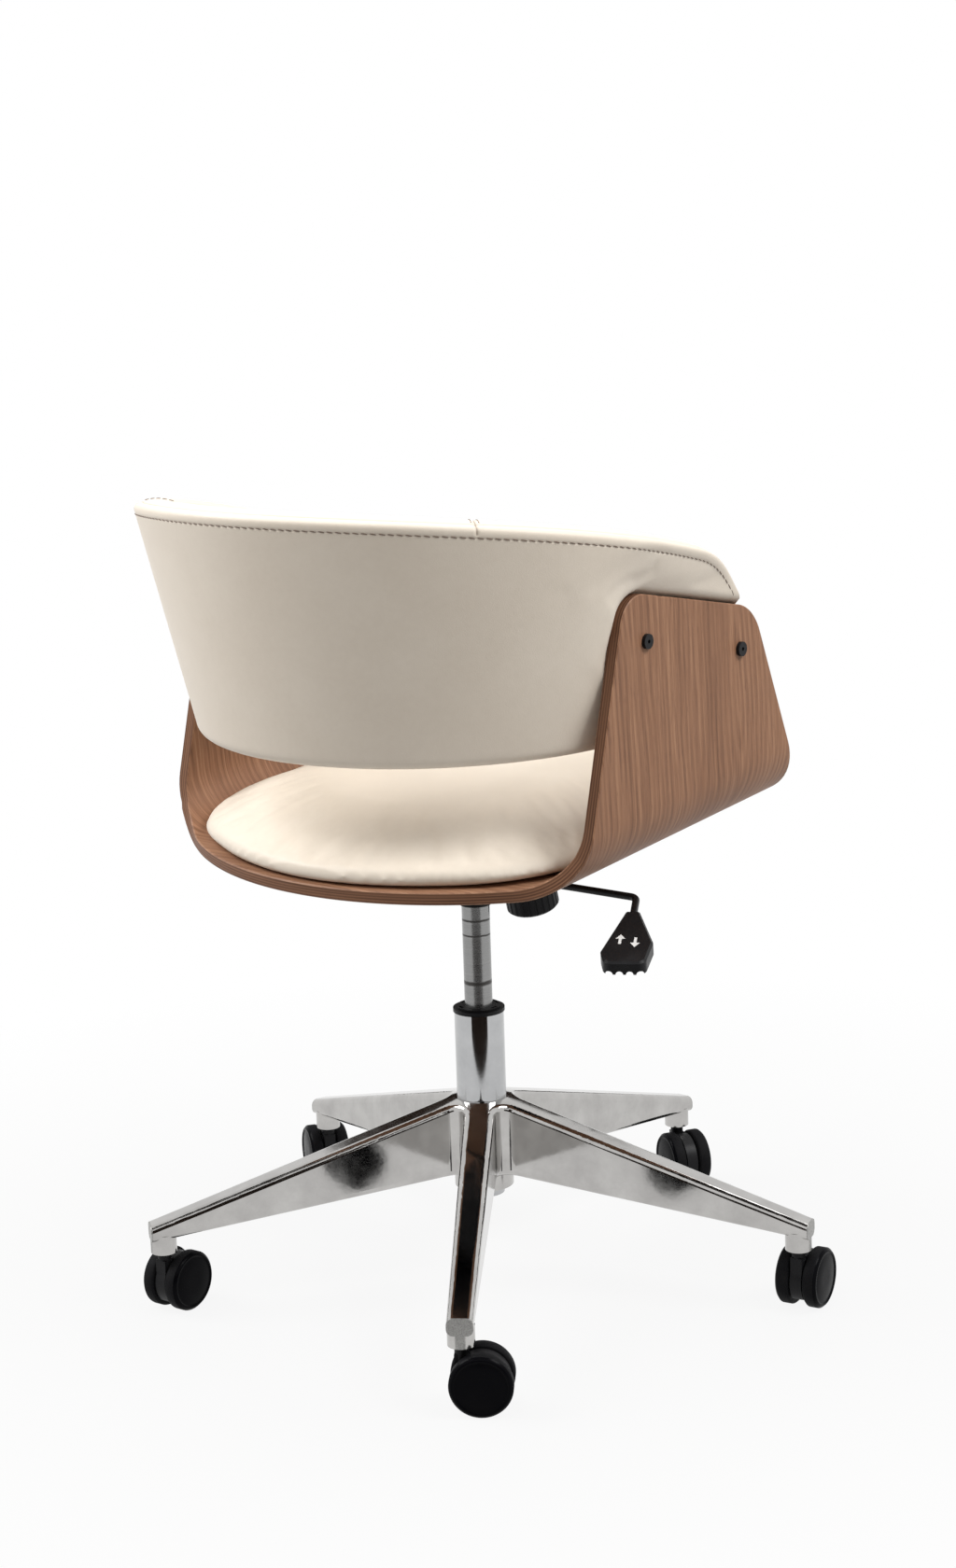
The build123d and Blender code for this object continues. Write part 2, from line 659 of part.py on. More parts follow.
# Tension knob and bolt turn together in the trunnion nut
with BuildPart() as tension_knob:
    with BuildSketch(knob_plan):
        Circle(KNOB_D / 2)
        with PolarLocations(KNOB_D / 2 + KNOB_FLUTE_R / 3, KNOB_FLUTES):
            Circle(KNOB_FLUTE_R, mode=Mode.SUBTRACT)
    extrude(amount=KNOB_H)
    with BuildSketch(knob_plan.offset(KNOB_FLOOR)):
        Circle(KNOB_D / 2 - KNOB_WALL)
    extrude(amount=KNOB_H - KNOB_FLOOR, mode=Mode.SUBTRACT)
    with BuildSketch(Plane(knob_plan.origin, x_dir=(1, 0, 0), z_dir=-knob_plan.y_dir)):
        Polygon(
            (KNOB_D / 2 - KNOB_CHAMFER, 0),
            (KNOB_D / 2 + 1, 0),
            (KNOB_D / 2 + 1, KNOB_CHAMFER + 1),
            align=None,
        )
    revolve(axis=Axis(knob_plan.origin, knob_plan.z_dir), mode=Mode.SUBTRACT)
    with BuildSketch(knob_plan.offset(TENSION_BOLT_SEAT)):
        Circle(TENSION_BOLT_D / 2)
    extrude(amount=KNOB_FLOOR, mode=Mode.SUBTRACT)
finish(tension_knob, "tension_knob")

with BuildPart() as tension_bolt:
    with BuildSketch(knob_plan.offset(TENSION_BOLT_SEAT)):
        Circle(TENSION_BOLT_D / 2)
    extrude(amount=TENSION_BOLT_LENGTH - TENSION_BOLT_SEAT)
finish(tension_bolt, "tension_bolt")

with BuildPart() as tension_nut:
    with BuildSketch(side_plane(-NUT_LENGTH / 2)):
        with Locations((nut_y, nut_z)):
            Circle(NUT_D / 2)
    extrude(amount=NUT_LENGTH)
    with BuildSketch(knob_plan):
        Circle(TENSION_BOLT_D / 2 + RUN_CLEAR)
    extrude(amount=NUT_UP + NUT_D, mode=Mode.SUBTRACT)
finish(tension_nut, "tension_nut")

# The spring seat is slotted like the housing's floor, because the bolt swings forward as the seat tilts
seat_low = KNOB_Z + SPRING_SEAT_UP * LEAN_COS
bolt_rest = KNOB_Y + SPRING_SEAT_UP * LEAN_SIN
bolt_back = knob_back[0] + (seat_low - knob_back[1]) * math.tan(math.radians(KNOB_LEAN + TILT_MAX))
bolt_swing = bolt_rest - bolt_back + SLOT_MARGIN
with BuildPart() as spring_seat:
    with BuildSketch(knob_plan.offset(SPRING_SEAT_UP)):
        Circle(bolt_swing + SPRING_SEAT_RIM)
        with Locations((0, (SLOT_MARGIN - bolt_swing) / 2)):
            SlotOverall(SLOT_MARGIN + bolt_swing, TENSION_BOLT_D * 1.5, rotation=90, mode=Mode.SUBTRACT)
    extrude(amount=SPRING_SEAT_UP)
    split(bisect_by=Plane.XY.offset(HOUSING_FLOOR), keep=Keep.BOTTOM)
finish(spring_seat, "spring_seat")


# The spring's helix is a chain of biarcs, a quarter turn each
def helix_point(angle, rise):
    """A point of the helix and its direction, in the knob's frame."""
    point = Vector(math.cos(angle) * SPRING_D / 2, math.sin(angle) * SPRING_D / 2, spring_low + rise * angle)
    heading = Vector(-math.sin(angle) * SPRING_D / 2, math.cos(angle) * SPRING_D / 2, rise)
    return point, heading.normalized()


spring_low = KNOB_FLOOR + SEAT_GAP + SPRING_WIRE / 2
spring_high = SPRING_SEAT_UP - SEAT_GAP - SPRING_WIRE / 2
spring_rise = (spring_high - spring_low) / (2 * math.pi * SPRING_TURNS)
QUARTERS = 4 * SPRING_TURNS
with BuildPart() as tension_spring:
    with BuildLine() as coil:
        for quarter in range(QUARTERS):
            start, out = helix_point(quarter * math.pi / 2, spring_rise)
            end, into = helix_point((quarter + 1) * math.pi / 2, spring_rise)
            span = end - start
            both = out + into
            # Equal arms of the biarc
            a = 2 * (1 - out.dot(into))
            b = 2 * span.dot(both)
            c = -span.dot(span)
            arm = (-b + math.sqrt(b * b - 4 * a * c)) / (2 * a)
            middle = (start + out * arm + end - into * arm) * 0.5
            first = knob_plan.from_local_coords(start)
            second = knob_plan.from_local_coords(middle)
            third = knob_plan.from_local_coords(end)
            way = knob_plan.from_local_coords(start + out) - first
            leg = TangentArc(first, second, tangent=way)
            TangentArc(second, third, tangent=leg % 1)
    with BuildSketch(Plane(coil.line @ 0, z_dir=coil.line % 0)):
        Circle(SPRING_WIRE / 2)
    sweep(path=coil.line)
finish(tension_spring, "tension_spring")
# Least gap between neighbouring turns, on points along the wire at least half a turn apart
wire_count = 24 * SPRING_TURNS
wire_points = [coil.line @ (i / wire_count) for i in range(wire_count + 1)]
least_gap = SPRING_D
for i, here in enumerate(wire_points):
    for there in wire_points[i + 12 :]:
        least_gap = min(least_gap, (there - here).length - SPRING_WIRE)
print("spring's least gap between turns:", round(least_gap, 2), "mm")

# Seat-height lever: straight rod, bend, sloping end in the paddle, tongue over the valve
out_turn = math.radians(LEVER_OUT_TURN)
out_drop = math.radians(LEVER_OUT_DROP)
out_dir = Vector(
    math.cos(out_turn) * math.cos(out_drop), math.sin(out_turn) * math.cos(out_drop), -math.sin(out_drop)
)
lever_bend = Vector(-LEVER_REACH, LEVER_Y, LEVER_Z)
lever_end = lever_bend + out_dir * LEVER_OUT
tongue_low = VALVE_TOP + SEAT_GAP
with BuildPart() as lever_rod:
    with BuildLine() as lever_path:
        FilletPolyline((TONGUE_X + TONGUE_W, LEVER_Y, LEVER_Z), lever_bend, lever_end, radius=LEVER_BEND)
    with BuildSketch(Plane(lever_path.line @ 0, z_dir=lever_path.line % 0)):
        Circle(LEVER_D / 2)
    sweep(path=lever_path.line)
    with BuildSketch(side_plane(TONGUE_X)):
        Polygon(
            (LEVER_Y - TONGUE_T / 2, LEVER_Z),
            (LEVER_Y + TONGUE_T / 2, LEVER_Z),
            (LEVER_Y + TONGUE_T / 2, tongue_low + TONGUE_T),
            (-TONGUE_OVER, tongue_low + TONGUE_T),
            (-TONGUE_OVER, tongue_low),
            (LEVER_Y - TONGUE_T / 2, tongue_low),
            align=None,
        )
    extrude(amount=TONGUE_W)
    for ring in (LOCK_X + SEAT_GAP, LOCK_X - LOCK_LENGTH - SEAT_GAP - LOCK_RING_T):
        with BuildSketch(side_plane(ring)):
            with Locations((LEVER_Y, LEVER_Z)):
                Circle(LOCK_RING_D / 2)
        extrude(amount=LOCK_RING_T)
finish(lever_rod, "lever_rod")

with BuildPart() as lock_slider:
    with BuildSketch(side_plane(LOCK_X - LOCK_LENGTH)):
        with BuildLine():
            half = LOCK_W / 2
            Polyline(
                (LEVER_Y - half, LEVER_Z - half),
                (LEVER_Y + half, LEVER_Z - half),
                (LEVER_Y + half, LEVER_Z + half),
                (LEVER_Y + half / 2, LEVER_Z + half),
                (LEVER_Y + half / 2, LOCK_TOP),
                (LEVER_Y - half / 2, LOCK_TOP),
                (LEVER_Y - half / 2, LEVER_Z + half),
                (LEVER_Y - half, LEVER_Z + half),
                close=True,
            )
        make_face()
        with Locations((LEVER_Y, LEVER_Z)):
            Circle(LEVER_D / 2 + RUN_CLEAR, mode=Mode.SUBTRACT)
    extrude(amount=LOCK_LENGTH)
finish(lock_slider, "lock_slider")

paddle_x = Vector(out_dir.X, out_dir.Y, out_dir.Z)
paddle_across = Vector(-math.sin(out_turn), math.cos(out_turn), 0)
paddle_plan = Plane(lever_end - out_dir * PADDLE_SOCKET, x_dir=paddle_x, z_dir=paddle_x.cross(paddle_across))
with BuildPart() as lever_paddle:
    with BuildSketch(paddle_plan.offset(-PADDLE_T / 2)) as paddle_outline:
        Polygon(
            (0, -PADDLE_NECK_W / 2),
            (PADDLE_LENGTH * 0.78, -PADDLE_W / 2),
            (PADDLE_LENGTH, -PADDLE_W * 0.4),
            (PADDLE_LENGTH, PADDLE_W * 0.4),
            (PADDLE_LENGTH * 0.6, PADDLE_W / 2),
            (0, PADDLE_NECK_W / 2),
            align=None,
        )
        fillet(paddle_outline.vertices().sort_by(Axis.X)[2:], PADDLE_ROUND)
    extrude(amount=PADDLE_T)
    # Finger scallops under the outer lip
    pitch = PADDLE_W * 0.8 / PADDLE_SCALLOPS
    lip = Plane(paddle_plan.from_local_coords((PADDLE_LENGTH, 0, -PADDLE_T / 2)), x_dir=paddle_across, z_dir=paddle_x)
    with BuildSketch(lip):
        with GridLocations(pitch, 1, PADDLE_SCALLOPS, 1):
            Circle(PADDLE_SCALLOP_R)
    extrude(amount=-PADDLE_LENGTH * 0.3, mode=Mode.SUBTRACT)
    chamfer(lever_paddle.faces().sort_by(Axis(paddle_plan.origin, paddle_plan.z_dir))[-1].edges(), PADDLE_EDGE)
    with BuildSketch(Plane(lever_end, z_dir=out_dir)):
        Circle(LEVER_D / 2)
    extrude(amount=-PADDLE_SOCKET, mode=Mode.SUBTRACT)
finish(lever_paddle, "lever_paddle")


# Bent plywood shell: a U pressed from one sheet, trimmed in plan and from the side
def shell_section(outer):
    """Adds one face of the U to the line in hand, from one panel's top to the other's."""
    reach = SHELL_X if outer else SHELL_X - SHELL_T
    low = 0.0 if outer else SHELL_T
    bend = SHELL_BEND_R if outer else SHELL_BEND_R - SHELL_T
    crown = SHELL_W
    corner = bend * (1 - math.sqrt(0.5))
    Line((-reach, crown), (-reach, SHELL_BEND_R))
    ThreePointArc((-reach, SHELL_BEND_R), (-reach + corner, low + corner), (-SHELL_FLAT_X, low))
    Line((-SHELL_FLAT_X, low), (SHELL_FLAT_X, low))
    ThreePointArc((SHELL_FLAT_X, low), (reach - corner, low + corner), (reach, SHELL_BEND_R))
    Line((reach, SHELL_BEND_R), (reach, crown))


panel_top_rear_y = (PANEL_REAR_FOOT + PANEL_REAR_SLOPE * (PANEL_FOOT_Z - PANEL_TOP)) / (
    1 + PANEL_REAR_SLOPE * PANEL_TOP_SLOPE
)
panel_top_rear_z = PANEL_TOP + PANEL_TOP_SLOPE * panel_top_rear_y
panel_top_front_z = (PANEL_TOP + PANEL_TOP_SLOPE * SHELL_FRONT) / (1 - PANEL_TOP_SLOPE * PANEL_FRONT_SLOPE)
panel_top_front_y = SHELL_FRONT + PANEL_FRONT_SLOPE * panel_top_front_z


def panel_lines():
    """Adds the panels' side view, open towards the rear of the floor, to the line in hand."""
    Polyline(
        (SHELL_FRONT - PANEL_FRONT_SLOPE, -1),
        (SHELL_W, -1),
        (SHELL_W, PANEL_FOOT_Z),
        (PANEL_REAR_FOOT, PANEL_FOOT_Z),
        (panel_top_rear_y, panel_top_rear_z),
        (panel_top_front_y, panel_top_front_z),
        close=True,
    )


with BuildPart() as seat_shell:
    with BuildSketch(seat_front):
        with BuildLine():
            shell_section(True)
            shell_section(False)
            Line((-SHELL_X, SHELL_W), (-SHELL_X + SHELL_T, SHELL_W))
            Line((SHELL_X, SHELL_W), (SHELL_X - SHELL_T, SHELL_W))
        make_face()
    extrude(amount=SHELL_W, both=True)
    # Plan: bowed rear edge running out along its tangents, straight front with round corners
    wide = SHELL_X + 8
    arc_r = (SHELL_FLAT_X**2 + SHELL_REAR_SAG**2) / (2 * SHELL_REAR_SAG)
    run_out = SHELL_FLAT_X / (arc_r - SHELL_REAR_SAG)
    shoulder = SHELL_REAR - SHELL_REAR_SAG
    with BuildSketch(seat_plan.offset(-1)) as trim:
        with BuildLine():
            ThreePointArc((SHELL_FLAT_X, shoulder), (0, SHELL_REAR), (-SHELL_FLAT_X, shoulder))
            Polyline(
                (-SHELL_FLAT_X, shoulder),
                (-wide, shoulder - run_out * (wide - SHELL_FLAT_X)),
                (-wide, SHELL_FRONT),
                (wide, SHELL_FRONT),
                (wide, shoulder - run_out * (wide - SHELL_FLAT_X)),
                (SHELL_FLAT_X, shoulder),
            )
        make_face()
        fillet(trim.vertices().group_by(Axis.Y)[0], SHELL_FRONT_CORNER)
    extrude(amount=SHELL_W, mode=Mode.INTERSECT)
    # Side: both panels narrow upwards and slope down to the front
    with BuildSketch(seat_side) as outline:
        with BuildLine():
            panel_lines()
        make_face()
        fillet(outline.vertices().sort_by(Axis.Y)[-2], PANEL_FRONT_ROUND)
        fillet(outline.vertices().sort_by(Axis.Y)[-1], PANEL_REAR_ROUND)
    extrude(amount=SHELL_W, both=True, mode=Mode.INTERSECT)
    with BuildSketch(seat_plan):
        with Locations(*bolt_places):
            Circle(BOLT_D / 2 + BOLT_CLEAR)
    extrude(amount=SHELL_T, mode=Mode.SUBTRACT)
    with BuildSketch(side_plane()):
        with Locations(*SIDE_BOLTS):
            Circle(BOLT_D / 2 + BOLT_CLEAR)
    extrude(amount=SHELL_W, both=True, mode=Mode.SUBTRACT)
finish(seat_shell, "seat_shell")


# Seat cushion: crowned pad on its own board
def cushion_lines(side_in, end_in):
    """Adds the cushion's plan, drawn in at the sides and at the ends, to the line in hand."""
    half = CUSHION_X - side_in
    share = half / CUSHION_X
    rear = CUSHION_REAR - end_in
    front = CUSHION_FRONT + end_in
    rear_corner = rear - CUSHION_REAR_SAG * share
    front_corner = front + CUSHION_FRONT_SAG * share
    ThreePointArc((half, rear_corner), (0, rear), (-half, rear_corner))
    Line((-half, rear_corner), (-half, front_corner))
    ThreePointArc((-half, front_corner), (0, front), (half, front_corner))
    Line((half, front_corner), (half, rear_corner))


def cushion_round(side_in):
    """The corner radius of the cushion's plan, drawn in at the sides."""
    return CUSHION_CORNER * (1 - side_in / CUSHION_X)


with BuildPart() as seat_board:
    with BuildSketch(seat_plan.offset(SHELL_T)) as board_plan:
        with BuildLine():
            cushion_lines(BOARD_INSET, BOARD_INSET)
        make_face()
        fillet(board_plan.vertices(), cushion_round(BOARD_INSET))
    extrude(amount=BOARD_T)
    with BuildSketch(seat_plan.offset(SHELL_T)):
        with Locations(*bolt_places):
            Circle(TEE_BARREL_D / 2)
    extrude(amount=BOARD_T, mode=Mode.SUBTRACT)
finish(seat_board, "seat_board")

with BuildPart() as tee_nuts:
    with BuildSketch(seat_plan.offset(SHELL_T)):
        with Locations(*bolt_places):
            Circle(TEE_BARREL_D / 2)
    extrude(amount=BOARD_T)
    with BuildSketch(seat_plan.offset(SHELL_T + BOARD_T)):
        with Locations(*bolt_places):
            Circle(TEE_FLANGE_D / 2)
    extrude(amount=TEE_FLANGE_T)
    with BuildSketch(seat_plan.offset(SHELL_T)):
        with Locations(*bolt_places):
            Circle(BOLT_D / 2)
    extrude(amount=BOARD_T + TEE_FLANGE_T, mode=Mode.SUBTRACT)
finish(tee_nuts, "tee_nuts")

with BuildPart() as plate_bolts:
    with BuildSketch(seat_plan.offset(-PLATE_T)):
        with Locations(*bolt_places):
            Circle(BOLT_D / 2)
    extrude(amount=PLATE_T + SHELL_T + BOARD_T)
    with BuildSketch(seat_plan.offset(-PLATE_T)):
        with Locations(*bolt_places):
            RegularPolygon(BOLT_HEAD_D / 2, 6)
    extrude(amount=-BOLT_HEAD_H)
finish(plate_bolts, "plate_bolts")

cushion_low = SHELL_T + SEAT_GAP
# The lower rings follow the shell's bend, the upper ones close in over the crown
cushion_steps = []
for share in (1.0, 0.5, 0.15, 0.0):
    height = CUSHION_BULGE - (CUSHION_BULGE - cushion_low) * math.sqrt(share)
    cushion_steps.append((height, CUSHION_SIDE_TUCK * share, CUSHION_END_TUCK * share))
for number in range(CUSHION_RINGS):
    share = 0.06 + 0.1 * number
    height = CUSHION_CROWN - (CUSHION_CROWN - CUSHION_BULGE) * (1 - share) ** CUSHION_DOME
    cushion_steps.append((height, CUSHION_X * share, CUSHION_X * share))
with BuildPart() as seat_cushion:
    for height, side_in, end_in in cushion_steps:
        with BuildSketch(seat_plan.offset(height)) as ring:
            with BuildLine():
                cushion_lines(side_in, end_in)
            make_face()
            fillet(ring.vertices(), cushion_round(side_in))
    loft()
    # Pocket over the board and its nuts
    with BuildSketch(seat_plan.offset(SHELL_T)) as pocket:
        with BuildLine():
            cushion_lines(BOARD_INSET, BOARD_INSET)
        make_face()
        fillet(pocket.vertices(), cushion_round(BOARD_INSET))
    extrude(amount=BOARD_T, mode=Mode.SUBTRACT)
    with BuildSketch(seat_plan.offset(SHELL_T + BOARD_T)):
        with Locations(*bolt_places):
            Circle(TEE_FLANGE_D / 2)
    extrude(amount=TEE_FLANGE_T, mode=Mode.SUBTRACT)
finish(seat_cushion, "seat_cushion")


# Backrest: a padded band round a bent former, leaning outwards, the panels let into its arms
def back_radius(height):
    """Radius of the backrest's outer face at a height."""
    return BACK_R + (height - BACK_R_Z) * math.tan(math.radians(BACK_LEAN))


def band_lines(half, centre_y, thickness):
    """Adds a horizontal section of a band to the line in hand: two arms and two quarter rounds."""
    end = 2 * BACK_ARM_FRONT
    for depth in (0.0, thickness):
        reach = half - depth
        Line((reach, end), (reach, centre_y))
        CenterArc((0, centre_y), reach, 0, 90)
        CenterArc((0, centre_y), reach, 90, 90)
        Line((-reach, centre_y), (-reach, end))
    Line((half, end), (half - thickness, end))
    Line((-half, end), (-half + thickness, end))


def back_side_lines(margin):
    """Adds the backrest's side view, drawn in by a margin, to the line in hand."""
    front = BACK_ARM_FRONT + margin
    rear = BACK_CENTRE_Y + back_radius(BACK_TOP) + BACK_SKIN
    head = (rear, BACK_TOP - margin)
    middle = (BACK_TOP_MIDDLE[0], BACK_TOP_MIDDLE[1] - margin)
    brow = (BACK_ARM_TOP_Y, BACK_ARM_TOP - margin)
    nose = (front, BACK_ARM_NOSE_Z)
    chin = (front, BACK_ARM_BOTTOM + margin)
    top = ThreePointArc(head, middle, brow)
    TangentArc(brow, nose, tangent=top % 1)
    Line(nose, chin)
    Line(chin, (rear, BACK_BOTTOM + margin))
    Line((rear, BACK_BOTTOM + margin), head)


back_heights = [BACK_BOTTOM - BACK_SKIN, (BACK_BOTTOM + BACK_TOP) / 2, BACK_TOP + BACK_SKIN]
back_depths = [BACK_T_FOOT, BACK_T_MIDDLE, BACK_T_HEAD]
with BuildPart() as former_band:
    for height in back_heights[::2]:
        with BuildSketch(Plane.XY.offset(height)):
            with BuildLine():
                band_lines(FORMER_X, BACK_CENTRE_Y + back_radius(height) - BACK_SKIN - FORMER_X, FORMER_T)
            make_face()
    loft(ruled=True)
    with BuildSketch(side_plane()):
        with BuildLine():
            back_side_lines(FORMER_MARGIN)
        make_face()
    extrude(amount=SHELL_W, both=True, mode=Mode.INTERSECT)

with BuildPart() as back_band:
    for height, depth in zip(back_heights, back_depths):
        with BuildSketch(Plane.XY.offset(height)):
            with BuildLine():
                band_lines(back_radius(height), BACK_CENTRE_Y, depth)
            make_face()
    loft()
    with BuildSketch(side_plane()):
        with BuildLine():
            back_side_lines(0.0)
        make_face()
    extrude(amount=SHELL_W, both=True, mode=Mode.INTERSECT)
    corners = back_band.edges().filter_by(lambda edge: abs(edge.center().Y - BACK_CENTRE_Y) > BACK_EDGE_R)
    fillet(corners, BACK_EDGE_R)
    for side in (-1, 1):
        with BuildSketch(seat_side.offset(side * (SHELL_X - SHELL_T - SEAT_GAP))):
            with BuildLine():
                panel_lines()
            make_face()
            offset(amount=BACK_RECESS)
        extrude(amount=side * SHELL_W, mode=Mode.SUBTRACT)

insert_x = FORMER_X

with BuildPart() as side_inserts:
    for side in (-1, 1):
        with BuildSketch(side_plane(side * insert_x)):
            with Locations(*SIDE_BOLTS):
                Circle(INSERT_D / 2)
                Circle(BOLT_D / 2, mode=Mode.SUBTRACT)
        extrude(amount=-side * INSERT_LENGTH)
finish(side_inserts, "side_inserts")

with BuildPart() as side_bolts:
    for side in (-1, 1):
        with BuildSketch(side_plane(side * (insert_x - INSERT_LENGTH))):
            with Locations(*SIDE_BOLTS):
                Circle(BOLT_D / 2)
        extrude(amount=side * (SHELL_X - insert_x + INSERT_LENGTH))
        with BuildSketch(side_plane(side * SHELL_X)):
            with Locations(*SIDE_BOLTS):
                Circle(SIDE_BOLT_HEAD_D / 2)
        extrude(amount=side * SIDE_BOLT_HEAD_H)
        with BuildSketch(side_plane(side * (SHELL_X + SIDE_BOLT_HEAD_H))):
            with Locations(*SIDE_BOLTS):
                RegularPolygon(SIDE_BOLT_HEX / 2, 6)
        extrude(amount=-side * SIDE_BOLT_HEAD_H * 0.7, mode=Mode.SUBTRACT)
finish(side_bolts, "side_bolts")


with BuildPart() as side_holes:
    for side in (-1, 1):
        with BuildSketch(side_plane(side * (insert_x - INSERT_LENGTH))):
            with Locations(*SIDE_BOLTS):
                Circle(INSERT_D / 2)
        extrude(amount=side * (INSERT_LENGTH + SHELL_X - FORMER_X))

with BuildPart() as back_former:
    add(former_band.part)
    add(side_holes.part, mode=Mode.SUBTRACT)
finish(back_former, "back_former")

with BuildPart() as back_cushion:
    add(back_band.part)
    add(former_band.part, mode=Mode.SUBTRACT)
    add(side_holes.part, mode=Mode.SUBTRACT)
finish(back_cushion, "back_cushion")


# Casters: each swivels on its stem, with two wheels running free on one axle
def caster(number, leg_angle, trail_angle):
    """Makes the five pieces of one caster where it stands."""
    leg = math.radians(leg_angle)
    trail = math.radians(trail_angle)
    foot = Vector(SOCKET_R * math.cos(leg), SOCKET_R * math.sin(leg), 0)
    along = Vector(math.cos(trail), math.sin(trail), 0)
    across = Vector(-math.sin(trail), math.cos(trail), 0)
    plan = Plane(foot, x_dir=along, z_dir=(0, 0, 1))
    side = Plane(foot, x_dir=along, z_dir=across * -1)
    axle_line = Axis(foot + along * CASTER_TRAIL + Vector(0, 0, WHEEL_R), across)
    hood_top = SOCKET_BOTTOM - SEAT_GAP * 2

    with BuildPart() as hood:
        with BuildSketch(side):
            with Locations((CASTER_TRAIL, WHEEL_R)):
                Circle(HOOD_D / 2)
            with Locations((0, STEM_SEAT)):
                Rectangle(HOOD_BOSS_D, WHEEL_R * 2 - STEM_SEAT - 4, align=(Align.CENTER, Align.MIN))
            with Locations((CASTER_TRAIL, 0)):
                Rectangle(HOOD_D, 2 * HOOD_FOOT, mode=Mode.SUBTRACT)
        extrude(amount=HOOD_W / 2, both=True)
        with BuildSketch(plan.offset(STEM_SEAT)):
            Circle(HOOD_BOSS_D / 2)
        extrude(amount=hood_top - STEM_SEAT)
        with BuildSketch(plan.offset(STEM_SEAT + 2)):
            Circle(STEM_D / 2)
        extrude(amount=hood_top, mode=Mode.SUBTRACT)
        with BuildSketch(side):
            with Locations((CASTER_TRAIL, WHEEL_R)):
                Circle(AXLE_D / 2)
        extrude(amount=HOOD_W, both=True, mode=Mode.SUBTRACT)
    finish(hood, f"caster_hood_{number}")

    with BuildPart() as stem:
        with BuildSketch(side):
            ring_profile(0, STEM_D / 2, STEM_SEAT + 2, SOCKET_BOTTOM + SOCKET_DEPTH - 1)
        revolve(axis=Axis(foot, (0, 0, 1)))
        with BuildSketch(side):
            band_z = SOCKET_BOTTOM + SOCKET_DEPTH - 8
            ring_profile(STEM_D / 2 - STEM_GROOVE, STEM_D / 2 + 1, band_z, band_z + 3)
        revolve(axis=Axis(foot, (0, 0, 1)), mode=Mode.SUBTRACT)
    finish(stem, f"caster_stem_{number}")

    with BuildPart() as axle:
        half = WHEEL_TRACK / 2 - WHEEL_W / 2 + WHEEL_BORE_DEPTH - AXLE_END_GAP
        with BuildSketch(side):
            with Locations((CASTER_TRAIL, WHEEL_R)):
                Circle(AXLE_D / 2)
        extrude(amount=half, both=True)
    finish(axle, f"caster_axle_{number}")

    for hand, sense in (("left", 1), ("right", -1)):
        middle = foot + along * CASTER_TRAIL + across * (sense * WHEEL_TRACK / 2) + Vector(0, 0, WHEEL_R)
        section = Plane(middle, x_dir=along, z_dir=along.cross(across * sense))
        with BuildPart() as wheel:
            with BuildSketch(section):
                inner = -WHEEL_W / 2
                outer = WHEEL_W / 2
                bore = AXLE_D / 2 + RUN_CLEAR
                disc = WHEEL_DISC_D / 2
                Polygon(
                    (bore, inner),
                    (WHEEL_R - WHEEL_CROWN, inner),
                    (WHEEL_R, inner + WHEEL_CROWN),
                    (WHEEL_R, outer - WHEEL_BEVEL),
                    (WHEEL_R - WHEEL_BEVEL, outer),
                    (disc + WHEEL_DISC_STEP, outer),
                    (disc, outer - WHEEL_DISC_STEP),
                    (0, outer - WHEEL_DISC_STEP),
                    (0, inner + WHEEL_BORE_DEPTH),
                    (bore, inner + WHEEL_BORE_DEPTH),
                    align=None,
                )
            revolve(axis=axle_line)
        finish(wheel, f"caster_wheel_{hand}_{number}")


for number, (leg_angle, trail_angle) in enumerate(zip(leg_angles, CASTER_TURNS), start=1):
    caster(number, leg_angle, trail_angle)
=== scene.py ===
import logging
import math
from dataclasses import dataclass
from enum import Enum
from typing import Sequence

import bmesh
import bpy
from mathutils import Matrix, Vector


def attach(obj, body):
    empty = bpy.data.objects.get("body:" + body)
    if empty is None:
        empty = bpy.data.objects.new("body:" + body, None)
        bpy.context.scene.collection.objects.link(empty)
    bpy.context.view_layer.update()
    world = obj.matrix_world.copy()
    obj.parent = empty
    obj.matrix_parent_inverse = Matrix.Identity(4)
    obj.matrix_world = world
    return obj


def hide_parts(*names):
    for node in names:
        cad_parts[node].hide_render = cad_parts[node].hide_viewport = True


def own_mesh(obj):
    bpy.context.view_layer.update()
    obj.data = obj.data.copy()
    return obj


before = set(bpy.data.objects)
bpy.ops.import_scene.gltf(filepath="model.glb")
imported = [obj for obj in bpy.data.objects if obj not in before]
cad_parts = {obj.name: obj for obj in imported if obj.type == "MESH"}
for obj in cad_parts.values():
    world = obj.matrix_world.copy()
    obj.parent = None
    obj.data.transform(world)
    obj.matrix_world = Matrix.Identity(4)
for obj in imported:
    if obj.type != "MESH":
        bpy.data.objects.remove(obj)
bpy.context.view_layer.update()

log = logging.getLogger("swivel_chair")

Socket = bpy.types.NodeSocket
Row = tuple[float, float, float]
Colour = Row
Stops = Sequence[tuple[float, Colour]]


def ease(t: float) -> float:
    """Smooth step from 0 to 1, held outside that range."""
    t = min(1.0, max(0.0, t))
    return t * t * (3.0 - 2.0 * t)


def mix(a: float, b: float, t: float) -> float:
    """Straight blend from a to b."""
    return a + (b - a) * t


